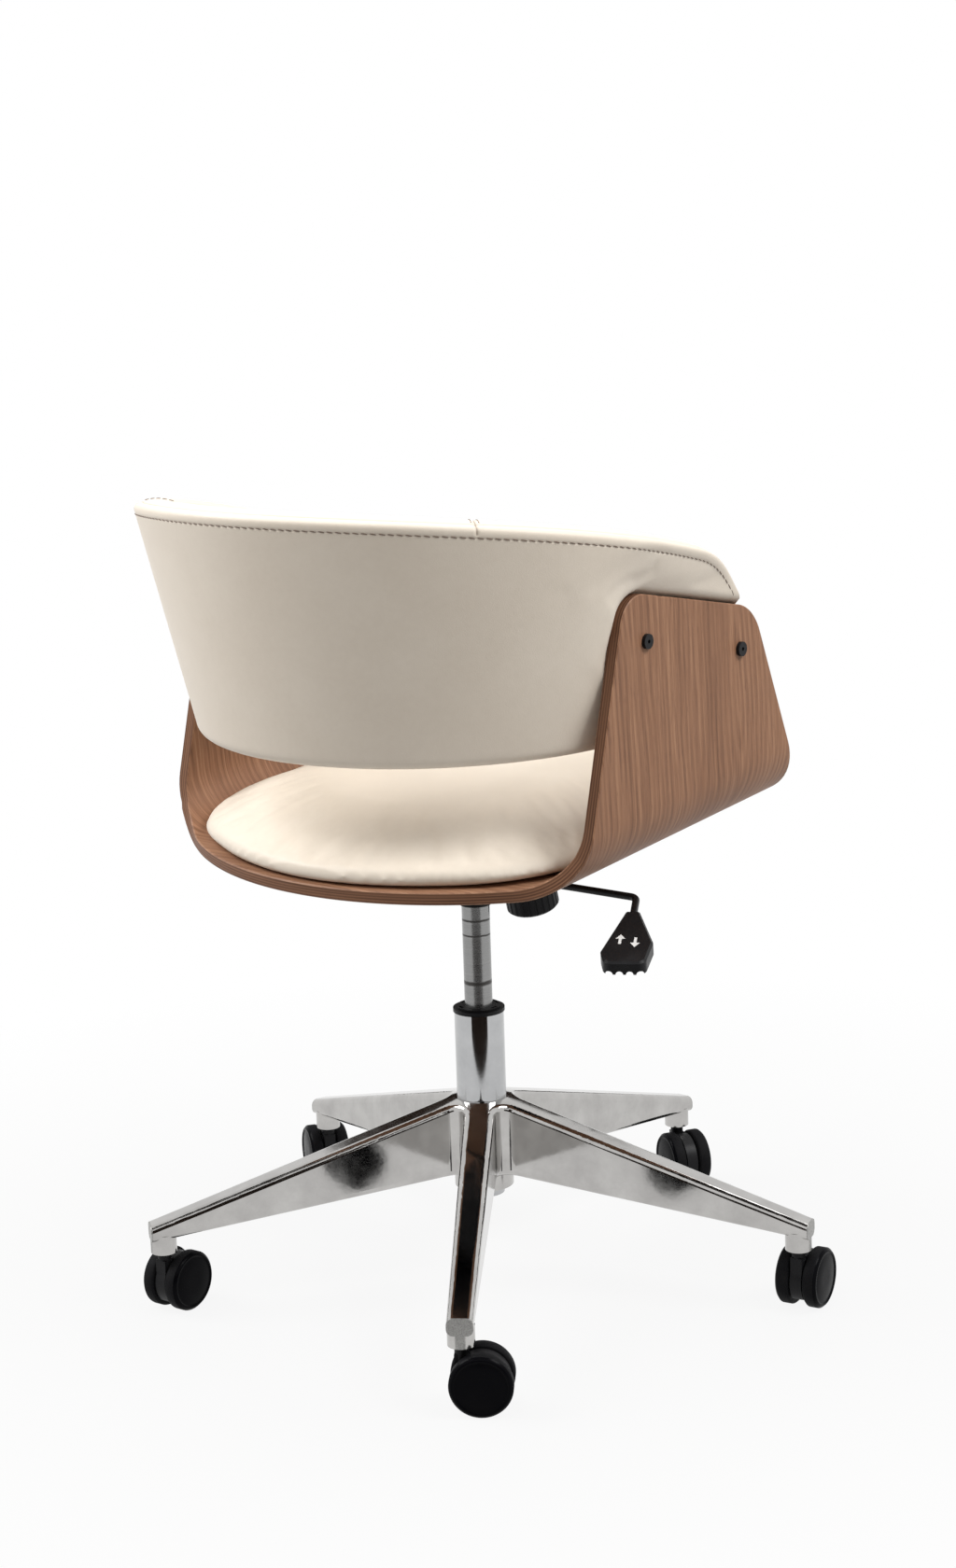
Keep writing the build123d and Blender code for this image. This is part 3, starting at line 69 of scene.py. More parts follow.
class Graph:
    """Lays out the nodes of one material."""

    def __init__(self, name: str) -> None:
        """Starts a material with its surface shader.

        Args:
            name: The material's name.
        """
        self.material = bpy.data.materials.new(name)
        self.material.use_nodes = True
        self.tree = self.material.node_tree
        self.surface = self.tree.nodes["Principled BSDF"]

    def node(self, kind: str, **values: object) -> bpy.types.Node:
        """Adds a node and sets its properties.

        Args:
            kind: The node's type name.
            values: Its properties.

        Returns:
            The node.
        """
        made = self.tree.nodes.new(kind)
        for key, value in values.items():
            setattr(made, key, value)
        return made

    def join(self, out: Socket, into: Socket) -> None:
        """Links two sockets."""
        self.tree.links.new(out, into)

    def place(self, stretch: Sequence[float] = (1.0, 1.0, 1.0), uv: bool = False) -> Socket:
        """Coordinates for a pattern.

        Args:
            stretch: Scale along each axis.
            uv: Whether the piece's own map is read in place of its object space.

        Returns:
            The vector socket.
        """
        source = self.node("ShaderNodeTexCoord").outputs["UV" if uv else "Object"]
        turn = self.node("ShaderNodeMapping")
        turn.inputs["Scale"].default_value = tuple(stretch)
        self.join(source, turn.inputs["Vector"])
        return turn.outputs["Vector"]

    def noise(self, at: Socket, scale: float, detail: float = 3.0, rough: float = 0.5) -> Socket:
        """Cloudy noise.

        Args:
            at: Where it is read.
            scale: Its frequency.
            detail: How many octaves it has.
            rough: How strong the finer octaves are.

        Returns:
            The value socket.
        """
        made = self.node("ShaderNodeTexNoise")
        made.inputs["Scale"].default_value = scale
        made.inputs["Detail"].default_value = detail
        made.inputs["Roughness"].default_value = rough
        self.join(at, made.inputs["Vector"])
        return made.outputs["Fac"]

    def cells(self, at: Socket, scale: float) -> Socket:
        """Soft cell pattern, as the distance to the nearest cell's middle.

        Args:
            at: Where it is read.
            scale: Its frequency.

        Returns:
            The value socket.
        """
        made = self.node("ShaderNodeTexVoronoi", feature="SMOOTH_F1")
        made.inputs["Scale"].default_value = scale
        made.inputs["Smoothness"].default_value = 0.35
        self.join(at, made.inputs["Vector"])
        return made.outputs["Distance"]

    def maths(self, sort: str, a: Socket | float, b: Socket | float = 0.0) -> Socket:
        """One step of arithmetic.

        Args:
            sort: The operation.
            a: First value or socket.
            b: Second value or socket.

        Returns:
            The result's socket.
        """
        made = self.node("ShaderNodeMath", operation=sort)
        for socket, value in zip(made.inputs, (a, b)):
            if isinstance(value, (int, float)):
                socket.default_value = value
            else:
                self.join(value, socket)
        return made.outputs["Value"]

    def weigh(self, *parts: tuple[Socket, float]) -> Socket:
        """Adds sockets up by their weights.

        Args:
            parts: Each socket with its weight.

        Returns:
            The sum's socket.
        """
        total = None
        for value, weight in parts:
            part = self.maths("MULTIPLY", value, weight)
            total = part if total is None else self.maths("ADD", total, part)
        return total

    def span(self, value: Socket, low: float, high: float, to_low: float, to_high: float) -> Socket:
        """Maps a value's range on to another, held at its ends.

        Args:
            value: The value's socket.
            low: Start of its range.
            high: End of its range.
            to_low: What the start becomes.
            to_high: What the end becomes.

        Returns:
            The result's socket.
        """
        made = self.node("ShaderNodeMapRange")
        for key, number in zip(("From Min", "From Max", "To Min", "To Max"), (low, high, to_low, to_high)):
            made.inputs[key].default_value = number
        self.join(value, made.inputs["Value"])
        return made.outputs["Result"]

    def ramp(self, value: Socket, stops: Stops) -> Socket:
        """Colours along a value.

        Args:
            value: The value from 0 to 1.
            stops: Place and colour of each stop.

        Returns:
            The colour socket.
        """
        made = self.node("ShaderNodeValToRGB")
        points = made.color_ramp.elements
        while len(points) < len(stops):
            points.new(0.5)
        for point, (place, colour) in zip(points, stops):
            point.position = place
            point.color = (*colour, 1.0)
        self.join(value, made.inputs["Fac"])
        return made.outputs["Color"]

    def blend(self, share: Socket, a: Socket | Colour, b: Socket | Colour) -> Socket:
        """Mixes two colours by a share.

        Args:
            share: How much of the second shows.
            a: First colour or socket.
            b: Second colour or socket.

        Returns:
            The colour socket.
        """
        made = self.node("ShaderNodeMix", data_type="RGBA")
        self.join(share, made.inputs["Factor"])
        for socket, value in zip((made.inputs[6], made.inputs[7]), (a, b)):
            if isinstance(value, tuple):
                socket.default_value = (*value, 1.0)
            else:
                self.join(value, socket)
        return made.outputs[2]

    def relief(self, height: Socket, strength: float, depth: float) -> None:
        """Bumps the surface.

        Args:
            height: The height's socket, about 0 to 1.
            strength: How much of the bump shows.
            depth: What a height of 1 stands for, in metres.
        """
        made = self.node("ShaderNodeBump")
        made.inputs["Strength"].default_value = strength
        made.inputs["Distance"].default_value = depth
        self.join(height, made.inputs["Height"])
        self.join(made.outputs["Normal"], self.surface.inputs["Normal"])

    def fixed(self, **values: float) -> None:
        """Sets constants on the surface shader, by socket name with _ for a space."""
        for key, value in values.items():
            self.surface.inputs[key.replace("_", " ")].default_value = value

    def colour(self, socket: Socket) -> None:
        """Feeds the surface's colour."""
        self.join(socket, self.surface.inputs["Base Color"])

    def roughness(self, socket: Socket) -> None:
        """Feeds the surface's roughness."""
        self.join(socket, self.surface.inputs["Roughness"])


@dataclass(frozen=True)
class Leather:
    """Cream upholstery leather with a fine pebble grain and painted shade along its seam grooves."""

    name: str = "cream_leather"
    pale: Colour = (0.79, 0.715, 0.615)
    deep: Colour = (0.72, 0.64, 0.54)
    # Painted shade: the dark colour laid along the seam grooves wherever the seam attribute is set
    crease_and_seam_shade: Colour = (0.20, 0.145, 0.10)
    pebble: float = 1100.0

    def build(self) -> bpy.types.Material:
        """Makes the material.

        Returns:
            The material.
        """
        g = Graph(self.name)
        at = g.place()
        cloud = g.noise(at, 9.0, 4.0, 0.55)
        fleck = g.noise(at, 160.0, 4.0, 0.6)
        tone = g.weigh((cloud, 0.7), (fleck, 0.3))
        # The seam attribute paints shade into the seam grooves; the noise for creases below only bumps the surface
        # and paints no shade
        seam = g.node("ShaderNodeAttribute", attribute_name="seam").outputs["Fac"]
        skin = g.ramp(tone, ((0.3, self.deep), (0.7, self.pale)))
        g.colour(g.blend(g.maths("MULTIPLY", seam, 0.75), skin, self.crease_and_seam_shade))
        grain = g.cells(at, self.pebble)
        crease_and_seam_shade = g.noise(at, 420.0, 5.0, 0.6)
        g.relief(g.weigh((grain, 0.6), (crease_and_seam_shade, 0.6)), 0.35, 0.00035)
        g.roughness(g.span(fleck, 0.3, 0.7, 0.42, 0.56))
        g.fixed(Specular_IOR_Level=0.4, Sheen_Weight=0.08, Sheen_Roughness=0.5)
        return g.material


@dataclass(frozen=True)
class Walnut:
    """Lacquered walnut veneer with its grain along the piece's own map."""

    name: str = "walnut_veneer"
    dark: Colour = (0.135, 0.062, 0.034)
    body: Colour = (0.275, 0.140, 0.080)
    light: Colour = (0.420, 0.235, 0.140)
    pore: Colour = (0.070, 0.033, 0.020)
    heart: Row = (0.040, 0.100, 0.0)
    rings: float = 780.0
    wander: float = 26.0

    def build(self) -> bpy.types.Material:
        """Makes the material.

        Returns:
            The material.
        """
        g = Graph(self.name)
        wander = g.noise(g.place((5.0, 14.0, 1.0), True), 1.0, 2.0, 0.5)
        heart = g.node("ShaderNodeVectorMath", operation="ADD")
        g.join(g.place((0.11, 1.0, 0.0), True), heart.inputs[0])
        heart.inputs[1].default_value = self.heart
        away = g.node("ShaderNodeVectorMath", operation="LENGTH")
        g.join(heart.outputs["Vector"], away.inputs[0])
        ring = g.weigh((away.outputs["Value"], self.rings), (wander, self.wander))
        growth = g.span(g.maths("SINE", ring), -1.0, 1.0, 0.0, 1.0)
        broad = g.noise(g.place((1.6, 38.0, 1.0), True), 1.0, 3.0, 0.55)
        streak = g.noise(g.place((4.0, 260.0, 1.0), True), 1.0, 4.0, 0.6)
        fibre = g.noise(g.place((16.0, 1100.0, 1.0), True), 1.0, 3.0, 0.6)
        tone = g.weigh((growth, 0.07), (broad, 0.26), (streak, 0.33), (fibre, 0.34))
        base = g.ramp(tone, ((0.34, self.dark), (0.50, self.body), (0.66, self.light)))
        pore = g.noise(g.place((55.0, 1700.0, 1.0), True), 1.0, 2.0, 0.5)
        pores = g.span(pore, 0.60, 0.70, 0.0, 0.55)
        g.colour(g.blend(pores, base, self.pore))
        g.relief(g.maths("SUBTRACT", fibre, pores), 0.25, 0.00025)
        g.roughness(g.span(streak, 0.3, 0.7, 0.44, 0.58))
        g.fixed(Specular_IOR_Level=0.22)
        return g.material


@dataclass(frozen=True)
class PlyEdge:
    """Sanded edge of the plywood, its veneers lying across the piece's ply attribute."""

    name: str = "plywood_edge"
    layers: float = 9.0
    end_grain: Colour = (0.070, 0.030, 0.017)
    long_grain: Colour = (0.265, 0.130, 0.072)

    def build(self) -> bpy.types.Material:
        """Makes the material.

        Returns:
            The material.
        """
        g = Graph(self.name)
        ply = g.node("ShaderNodeAttribute", attribute_name="ply").outputs["Fac"]
        along = g.noise(g.place((90.0, 90.0, 1.0), True), 1.0, 3.0, 0.6)
        wave = g.weigh((ply, self.layers * math.pi), (along, 0.7))
        stripe = g.span(g.maths("SINE", wave), -0.5, 0.5, 0.0, 1.0)
        speck = g.noise(g.place((420.0, 420.0, 1.0), True), 1.0, 3.0, 0.6)
        level = g.node("ShaderNodeCombineXYZ")
        g.join(g.maths("MULTIPLY", ply, self.layers), level.inputs["Z"])
        spot = g.node("ShaderNodeVectorMath", operation="ADD")
        g.join(g.place((9.0, 9.0, 0.0), True), spot.inputs[0])
        g.join(level.outputs["Vector"], spot.inputs[1])
        streak = g.span(g.noise(spot.outputs["Vector"], 1.0, 3.0, 0.6), 0.3, 0.7, 0.0, 1.0)
        share = g.weigh((stripe, 0.35), (speck, 0.2), (streak, 0.45))
        g.colour(g.ramp(share, ((0.15, self.end_grain), (0.85, self.long_grain))))
        g.relief(speck, 0.3, 0.0002)
        g.roughness(g.span(speck, 0.3, 0.7, 0.45, 0.62))
        g.fixed(Specular_IOR_Level=0.2)
        return g.material


@dataclass(frozen=True)
class PolishedCasting:
    """Hand-polished cast aluminium, left as cast on the leg ends."""

    name: str = "polished_casting"
    bright: Colour = (0.54, 0.53, 0.515)
    dull: Colour = (0.40, 0.39, 0.38)
    raw: Colour = (0.46, 0.455, 0.44)
    pits: Colour = (0.22, 0.217, 0.21)
    end_from: float = 0.3418
    end_blur: float = 0.0006

    def build(self) -> bpy.types.Material:
        """Makes the material.

        Returns:
            The material.
        """
        g = Graph(self.name)
        at = g.place()
        smear = g.noise(at, 30.0, 4.0, 0.6)
        pit = g.noise(at, 900.0, 3.0, 0.65)
        flat = g.node("ShaderNodeVectorMath", operation="LENGTH")
        g.join(g.place((1.0, 1.0, 0.0)), flat.inputs[0])
        cast = g.span(flat.outputs["Value"], self.end_from, self.end_from + self.end_blur, 0.0, 1.0)
        raw = g.ramp(pit, ((0.3, self.pits), (0.7, self.raw)))
        shine = g.ramp(smear, ((0.25, self.dull), (0.75, self.bright)))
        g.colour(g.blend(cast, shine, raw))
        polish = g.span(smear, 0.3, 0.75, 0.055, 0.15)
        g.roughness(g.maths("ADD", polish, g.maths("MULTIPLY", cast, 0.36)))
        ripple = g.noise(at, 70.0, 2.0, 0.5)
        g.relief(g.weigh((ripple, 0.5), (g.maths("MULTIPLY", pit, cast), 1.6)), 0.25, 0.0004)
        g.fixed(Metallic=1.0)
        return g.material


@dataclass(frozen=True)
class Plated:
    """Bright plated or satin metal with a drawn texture round the column's axis."""

    name: str
    bright: Colour
    dull: Colour
    smooth: float
    worn: float
    drawn: Row = (25.0, 25.0, 900.0)

    def build(self) -> bpy.types.Material:
        """Makes the material.

        Returns:
            The material.
        """
        g = Graph(self.name)
        draw = g.noise(g.place(self.drawn), 1.0, 3.0, 0.6)
        smear = g.noise(g.place(), 45.0, 4.0, 0.6)
        g.colour(g.ramp(smear, ((0.3, self.dull), (0.7, self.bright))))
        g.roughness(g.span(g.weigh((draw, 0.6), (smear, 0.4)), 0.3, 0.7, self.smooth, self.worn))
        g.relief(draw, 0.12, 0.00006)
        g.fixed(Metallic=1.0)
        return g.material


@dataclass(frozen=True)
class Piston:
    """Ground steel of the lifting cylinder, with rings of grease where it has stood in its bush."""

    name: str = "ground_piston"
    pale: Colour = (0.315, 0.315, 0.31)
    deep: Colour = (0.235, 0.235, 0.235)
    grease: Colour = (0.028, 0.025, 0.022)
    rings: tuple[tuple[float, float], ...] = ((0.3105, 0.0026), (0.3600, 0.0011), (0.3752, 0.0013))
    waver: float = 0.0022

    def build(self) -> bpy.types.Material:
        """Makes the material.

        Returns:
            The material.
        """
        g = Graph(self.name)
        draw = g.noise(g.place((18.0, 18.0, 1100.0)), 1.0, 3.0, 0.6)
        smear = g.noise(g.place((60.0, 60.0, 22.0)), 1.0, 4.0, 0.6)
        level = g.node("ShaderNodeSeparateXYZ")
        g.join(g.place(), level.inputs["Vector"])
        wave = g.maths("MULTIPLY", g.maths("SUBTRACT", smear, 0.5), self.waver)
        wobble = g.maths("ADD", level.outputs["Z"], wave)
        film = None
        for height, half in self.rings:
            away = g.maths("ABSOLUTE", g.maths("SUBTRACT", wobble, height))
            band = g.span(away, half * 0.45, half, 0.92, 0.0)
            film = band if film is None else g.maths("MAXIMUM", film, band)
        steel = g.ramp(draw, ((0.2, self.deep), (0.8, self.pale)))
        g.colour(g.blend(film, steel, self.grease))
        g.roughness(g.maths("ADD", g.span(draw, 0.2, 0.8, 0.24, 0.30), g.maths("MULTIPLY", film, 0.12)))
        g.join(g.maths("SUBTRACT", 1.0, g.maths("MULTIPLY", film, 0.8)), g.surface.inputs["Metallic"])
        g.relief(draw, 0.05, 0.00003)
        return g.material


@dataclass(frozen=True)
class Moulded:
    """Black moulded plastic, paint or rubber with a fine tooth and a little dust."""

    name: str
    colour: Colour
    dust: Colour
    smooth: float
    worn: float
    tooth: float = 1400.0
    lift: float = 0.12
    dusty: float = 0.10
    glint: float = 0.14

    def build(self) -> bpy.types.Material:
        """Makes the material.

        Returns:
            The material.
        """
        g = Graph(self.name)
        at = g.place()
        smear = g.noise(at, 38.0, 5.0, 0.62)
        tooth = g.noise(at, self.tooth, 2.0, 0.5)
        shown = g.span(smear, 0.48, 0.80, 0.0, self.dusty * 4.0)
        g.colour(g.blend(shown, self.colour, self.dust))
        g.roughness(g.span(smear, 0.3, 0.75, self.smooth, self.worn))
        g.relief(tooth, self.lift, 0.00012)
        g.fixed(Specular_IOR_Level=self.glint)
        return g.material


@dataclass(frozen=True)
class RawBoard:
    """Unfaced plywood and other hidden wood."""

    name: str = "raw_board"
    pale: Colour = (0.62, 0.46, 0.29)
    deep: Colour = (0.42, 0.29, 0.17)

    def build(self) -> bpy.types.Material:
        """Makes the material.

        Returns:
            The material.
        """
        g = Graph(self.name)
        streak = g.noise(g.place((10.0, 180.0, 30.0)), 1.0, 4.0, 0.6)
        g.colour(g.ramp(streak, ((0.3, self.deep), (0.7, self.pale))))
        g.relief(streak, 0.3, 0.0003)
        g.roughness(g.span(streak, 0.3, 0.7, 0.6, 0.75))
        return g.material


@dataclass(frozen=True)
class SewingThread:
    """Twisted brown sewing thread."""

    name: str = "sewing_thread"
    pale: Colour = (0.190, 0.125, 0.090)
    deep: Colour = (0.085, 0.052, 0.036)

    def build(self) -> bpy.types.Material:
        """Makes the material.

        Returns:
            The material.
        """
        g = Graph(self.name)
        twist = g.noise(g.place(), 1600.0, 2.0, 0.5)
        g.colour(g.ramp(twist, ((0.3, self.deep), (0.7, self.pale))))
        g.relief(twist, 0.5, 0.0002)
        g.roughness(g.span(twist, 0.3, 0.7, 0.55, 0.75))
        g.fixed(Sheen_Weight=0.2)
        return g.material


@dataclass(frozen=True)
class PrintedMark:
    """Pale ink of the arrows on the paddle."""

    name: str = "printed_mark"
    pale: Colour = (0.80, 0.80, 0.79)
    rubbed: Colour = (0.45, 0.45, 0.45)

    def build(self) -> bpy.types.Material:
        """Makes the material.

        Returns:
            The material.
        """
        g = Graph(self.name)
        wear = g.noise(g.place(), 700.0, 3.0, 0.6)
        g.colour(g.ramp(wear, ((0.25, self.rubbed), (0.5, self.pale))))
        g.roughness(g.span(wear, 0.3, 0.7, 0.45, 0.6))
        return g.material


class Finish(Enum):
    """The chair's finishes."""

    LEATHER = Leather()
    WALNUT = Walnut()
    PLY_EDGE = PlyEdge()
    CASTING = PolishedCasting()
    CHROME = Plated("column_chrome", (0.49, 0.495, 0.50), (0.43, 0.435, 0.44), 0.05, 0.09)
    STEEL = Plated("zinc_steel", (0.46, 0.46, 0.46), (0.32, 0.32, 0.33), 0.26, 0.42)
    PISTON = Piston()
    BLACK_STEEL = Moulded(
        "black_enamel", (0.008, 0.008, 0.009), (0.03, 0.03, 0.03), 0.30, 0.44, tooth=900.0, lift=0.10, dusty=0.03
    )
    BLACK_PLASTIC = Moulded("black_moulding", (0.009, 0.009, 0.010), (0.035, 0.035, 0.037), 0.34, 0.50, dusty=0.05)
    GLOSS_BLACK = Moulded(
        "gloss_wheel_face", (0.003, 0.003, 0.004), (0.015, 0.015, 0.016), 0.16, 0.28,
        tooth=900.0, lift=0.05, dusty=0.03, glint=0.03,
    )
    TREAD = Moulded(
        "wheel_tread", (0.006, 0.006, 0.007), (0.03, 0.029, 0.028), 0.50, 0.70,
        tooth=700.0, lift=0.30, dusty=0.08, glint=0.06,
    )
    RUBBER = Moulded("bump_rubber", (0.016, 0.016, 0.016), (0.05, 0.05, 0.05), 0.60, 0.78)
    BOARD = RawBoard()
    THREAD = SewingThread()
    MARK = PrintedMark()


_made: dict[Finish, bpy.types.Material] = {}


def material(finish: Finish) -> bpy.types.Material:
    """The finish's material, made once."""
    if finish not in _made:
        _made[finish] = finish.value.build()
    return _made[finish]


def dress(piece: bpy.types.Object, *finishes: Finish) -> None:
    """Gives a piece its material slots.

    Args:
        piece: The object.
        finishes: One finish for each slot, in order.
    """
    if piece.data.materials:
        piece.data.materials.clear()
    for finish in finishes:
        piece.data.materials.append(material(finish))


def close_up(bm: bmesh.types.BMesh, apart: float = 1e-5) -> None:
    """Merges doubled vertices and turns all faces outwards."""
    bmesh.ops.remove_doubles(bm, verts=bm.verts, dist=apart)
    bmesh.ops.recalc_face_normals(bm, faces=bm.faces)


def settle(bm: bmesh.types.BMesh, name: str, sharp: float = 180.0) -> bpy.types.Object:
    """Turns a bmesh into a smooth-shaded object at the origin.

    Args:
        bm: The mesh in hand, which is freed.
        name: The object's name.
        sharp: Edges that turn by more degrees than this stay sharp.

    Returns:
        The object.
    """
    for face in bm.faces:
        face.smooth = True
    for edge in bm.edges:
        edge.smooth = not edge.is_manifold or edge.calc_face_angle(0.0) < math.radians(sharp)
    mesh = bpy.data.meshes.new(name)
    bm.to_mesh(mesh)
    bm.free()
    piece = bpy.data.objects.new(name, mesh)
    bpy.context.scene.collection.objects.link(piece)
    return piece


def puff(piece: bpy.types.Object, held: Sequence[float], pressure: float, most: float, frames: int = 14) -> None:
    """Blows a padded skin up with cloth and keeps the result in its mesh.

    Args:
        piece: The skin.
        held: How firmly each vertex is pinned, from 0 to 1.
        pressure: The filling's pressure.
        most: How far a point may move, in metres.
        frames: Steps of the simulation.
    """
    pins = piece.vertex_groups.new(name="pins")
    for index, weight in enumerate(held):
        if weight > 0.0:
            pins.add([index], weight, "REPLACE")
    cloth = piece.modifiers.new("Cloth", "CLOTH")
    cloth.settings.quality = 4
    cloth.settings.mass = 0.4
    cloth.settings.tension_stiffness = 25.0
    cloth.settings.compression_stiffness = 25.0
    cloth.settings.bending_stiffness = 2.0
    cloth.settings.vertex_group_mass = "pins"
    cloth.settings.use_pressure = True
    cloth.settings.uniform_pressure_force = pressure
    cloth.settings.effector_weights.gravity = 0.0
    cloth.point_cache.frame_start = 1
    cloth.point_cache.frame_end = frames
    scene = bpy.context.scene
    for step in range(1, frames + 1):
        scene.frame_set(step)
    solved = piece.evaluated_get(bpy.context.evaluated_depsgraph_get()).data
    moved = [v.co.copy() for v in solved.vertices]
    for vertex, goal in zip(piece.data.vertices, moved):
        step = goal - vertex.co
        if step.length > most:
            step *= most / step.length
        vertex.co += step
    piece.modifiers.remove(cloth)
    piece.vertex_groups.remove(pins)
    scene.frame_set(1)


# The seat's own frame: its origin under the shell over the column, pitched back with the seat
SEAT_PITCH = math.radians(4.0)
SEAT_UNDERSIDE = 0.475
SEAT_FRAME = Matrix.Translation((0.0, 0.0, SEAT_UNDERSIDE)) @ Matrix.Rotation(-SEAT_PITCH, 4, "X")
SEAT_FRAME_BACK = SEAT_FRAME.inverted()


@dataclass
class BentShell:
    """The walnut shell, one sheet of plywood pressed into a U."""

    half_width: float = 0.255
    thickness: float = 0.012
    bend: float = 0.060
    rear: float = 0.257
    rear_sag: float = 0.066
    front: float = -0.206
    front_corner: float = 0.030
    corner_out: float = 0.008
    panel_foot: float = 0.030
    panel_rear: float = 0.1546
    rear_slope: float = 0.343
    front_slope: float = 0.341
    panel_top: float = 0.245
    top_slope: float = 0.279
    rear_round: float = 0.032
    front_round: float = 0.050
    edge_round: float = 0.0011
    wall: float = 0.216
    grid: tuple[int, int] = (184, 26)
    corner_cuts: int = 12
    merge: float = 0.0009
    inner_shift: float = 0.7
    edge_slope: float = 0.35

    def __post_init__(self) -> None:
        """Works out a panel's sides and rounded corners in side view."""
        top = Vector((-self.top_slope, 1.0)).normalized()
        rear = Vector((1.0, self.rear_slope)).normalized()
        front = Vector((-1.0, self.front_slope)).normalized()
        rear_y = self.panel_rear + self.rear_slope * (self.panel_foot - self.panel_top)
        rear_y /= 1 + self.rear_slope * self.top_slope
        front_z = (self.panel_top + self.top_slope * self.front) / (1 - self.top_slope * self.front_slope)
        rear_tip = Vector((rear_y, self.panel_top + self.top_slope * rear_y))
        front_tip = Vector((self.front + self.front_slope * front_z, front_z))
        self.sides = ((rear_tip, top), (rear_tip, rear), (front_tip, front))
        self.corners = []
        for (tip, side), radius in zip(self.sides[1:], (self.rear_round, self.front_round)):
            half = math.acos(top.dot(side)) / 2
            self.corners.append((tip - (top + side).normalized() * (radius / math.cos(half)), radius, side))

    @property
    def flat(self) -> float:
        """Half the floor's flat width."""
        return self.half_width - self.bend

    @property
    def arc(self) -> float:
        """Length of the bend along the middle of the sheet."""
        return (self.bend - self.thickness / 2) * math.pi / 2

    def section(self, along: float, depth: float) -> tuple[float, float]:
        """Where a point of the flat sheet comes to lie in the U.

        Args:
            along: Distance from the middle of the floor along the sheet.
            depth: Distance in from the outer face.

        Returns:
            The seat frame's x and z.
        """
        side = math.copysign(1.0, along)
        run = abs(along)
        if run <= self.flat:
            return along, depth
        turn = min(math.pi / 2, (run - self.flat) / (self.bend - self.thickness / 2))
        x = self.flat + (self.bend - depth) * math.sin(turn)
        z = self.bend - (self.bend - depth) * math.cos(turn)
        return side * x, z + max(0.0, run - self.flat - self.arc)

    def front_edge(self, along: float) -> float:
        """The sheet's front edge.

        Args:
            along: Distance from the middle of the floor along the sheet.

        Returns:
            The seat frame's y.
        """
        x, z = self.section(along, self.thickness / 2)
        start = self.half_width + self.corner_out - self.front_corner
        plan = self.front
        if abs(x) > start:
            plan += self.front_corner - math.sqrt(max(0.0, self.front_corner**2 - (abs(x) - start) ** 2))
        return max(plan, self.front + self.front_slope * z)

    def rear_edge(self, along: float) -> float:
        """The sheet's rear edge.

        Args:
            along: Distance from the middle of the floor along the sheet.

        Returns:
            The seat frame's y.
        """
        x, z = self.section(along, self.thickness / 2)
        radius = (self.flat**2 + self.rear_sag**2) / (2 * self.rear_sag)
        if abs(x) <= self.flat:
            return self.rear - radius + math.sqrt(radius**2 - x * x)
        slope = self.flat / (radius - self.rear_sag)
        plan = self.rear - self.rear_sag - slope * (abs(x) - self.flat)
        if z <= self.panel_foot:
            return plan
        return min(plan, self.panel_rear - self.rear_slope * (z - self.panel_foot))

    def trims(self) -> list[tuple[Vector, Vector]]:
        """The cuts that shape one panel's top.

        Returns:
            A point and an outward direction for each cut, in the panel's side view.
        """
        tip, top = self.sides[0]
        cuts = [(tip, top)]
        for heart, radius, side in self.corners:
            for step in range(1, self.corner_cuts):
                way = top.lerp(side, step / self.corner_cuts).normalized()
                cuts.append((heart + way * radius, way))
        return cuts

    def beyond(self, point: Vector) -> float:
        """How far a point of the side view lies outside a panel.

        Args:
            point: The point, as the seat frame's y and z.

        Returns:
            The distance, negative inside.
        """
        top = self.sides[0][1]
        for heart, radius, side in self.corners:
            off, turn = point - heart, top.cross(side)
            if off.cross(side) * turn > 0.0 and top.cross(off) * turn > 0.0:
                return off.length - radius
        return max((point - tip).dot(way) for tip, way in self.sides)

    def build(self) -> bpy.types.Object:
        """Cuts the flat sheet, gives it its thickness and bends it.

        Returns:
            The shell.
        """
        reach = self.flat + self.arc + self.wall
        bm = bmesh.new()
        bmesh.ops.create_grid(bm, x_segments=self.grid[0], y_segments=self.grid[1], size=1.0)
        for vertex in bm.verts:
            along = vertex.co.x * reach
            share = (vertex.co.y + 1.0) / 2
            vertex.co = (along, mix(self.front_edge(along), self.rear_edge(along), share), 0.0)
        rise = self.flat + self.arc - self.bend
        for side in (-1.0, 1.0):
            for point, way in self.trims():
                bmesh.ops.bisect_plane(
                    bm,
                    geom=bm.verts[:] + bm.edges[:] + bm.faces[:],
                    plane_co=(side * (point.y + rise), point.x, 0.0),
                    plane_no=(side * way.y, way.x, 0.0),
                    clear_outer=True,
                )
        bmesh.ops.remove_doubles(bm, verts=bm.verts, dist=self.merge)
        rim = bm.verts.layers.int.new("rim")
        bmesh.ops.inset_region(
            bm, faces=bm.faces[:], thickness=self.edge_round, use_even_offset=True, use_boundary=True
        )
        for vertex in bm.verts:
            vertex[rim] = int(vertex.is_boundary)
        sheet = bmesh.ops.extrude_face_region(bm, geom=bm.faces[:])
        raised = [item for item in sheet["geom"] if isinstance(item, bmesh.types.BMVert)]
        bmesh.ops.translate(bm, verts=raised, vec=(0.0, 0.0, self.thickness))
        for vertex in bm.verts:
            if vertex[rim]:
                vertex.co.z += self.edge_round if vertex.co.z < self.thickness / 2 else -self.edge_round
        bmesh.ops.recalc_face_normals(bm, faces=bm.faces)
        bm.normal_update()
        grain = bm.loops.layers.uv.new("grain")
        ply = bm.verts.layers.float.new("ply")
        for vertex in bm.verts:
            vertex[ply] = vertex.co.z / self.thickness
        for face in bm.faces:
            face.material_index = int(abs(face.normal.z) < self.edge_slope)
            for loop in face.loops:
                inner = loop.vert.co.z > self.thickness / 2
                loop[grain].uv = (loop.vert.co.x, loop.vert.co.y + self.inner_shift * inner)
        for vertex in bm.verts:
            x, z = self.section(vertex.co.x, vertex.co.z)
            vertex.co = SEAT_FRAME @ Vector((x, vertex.co.y, z))
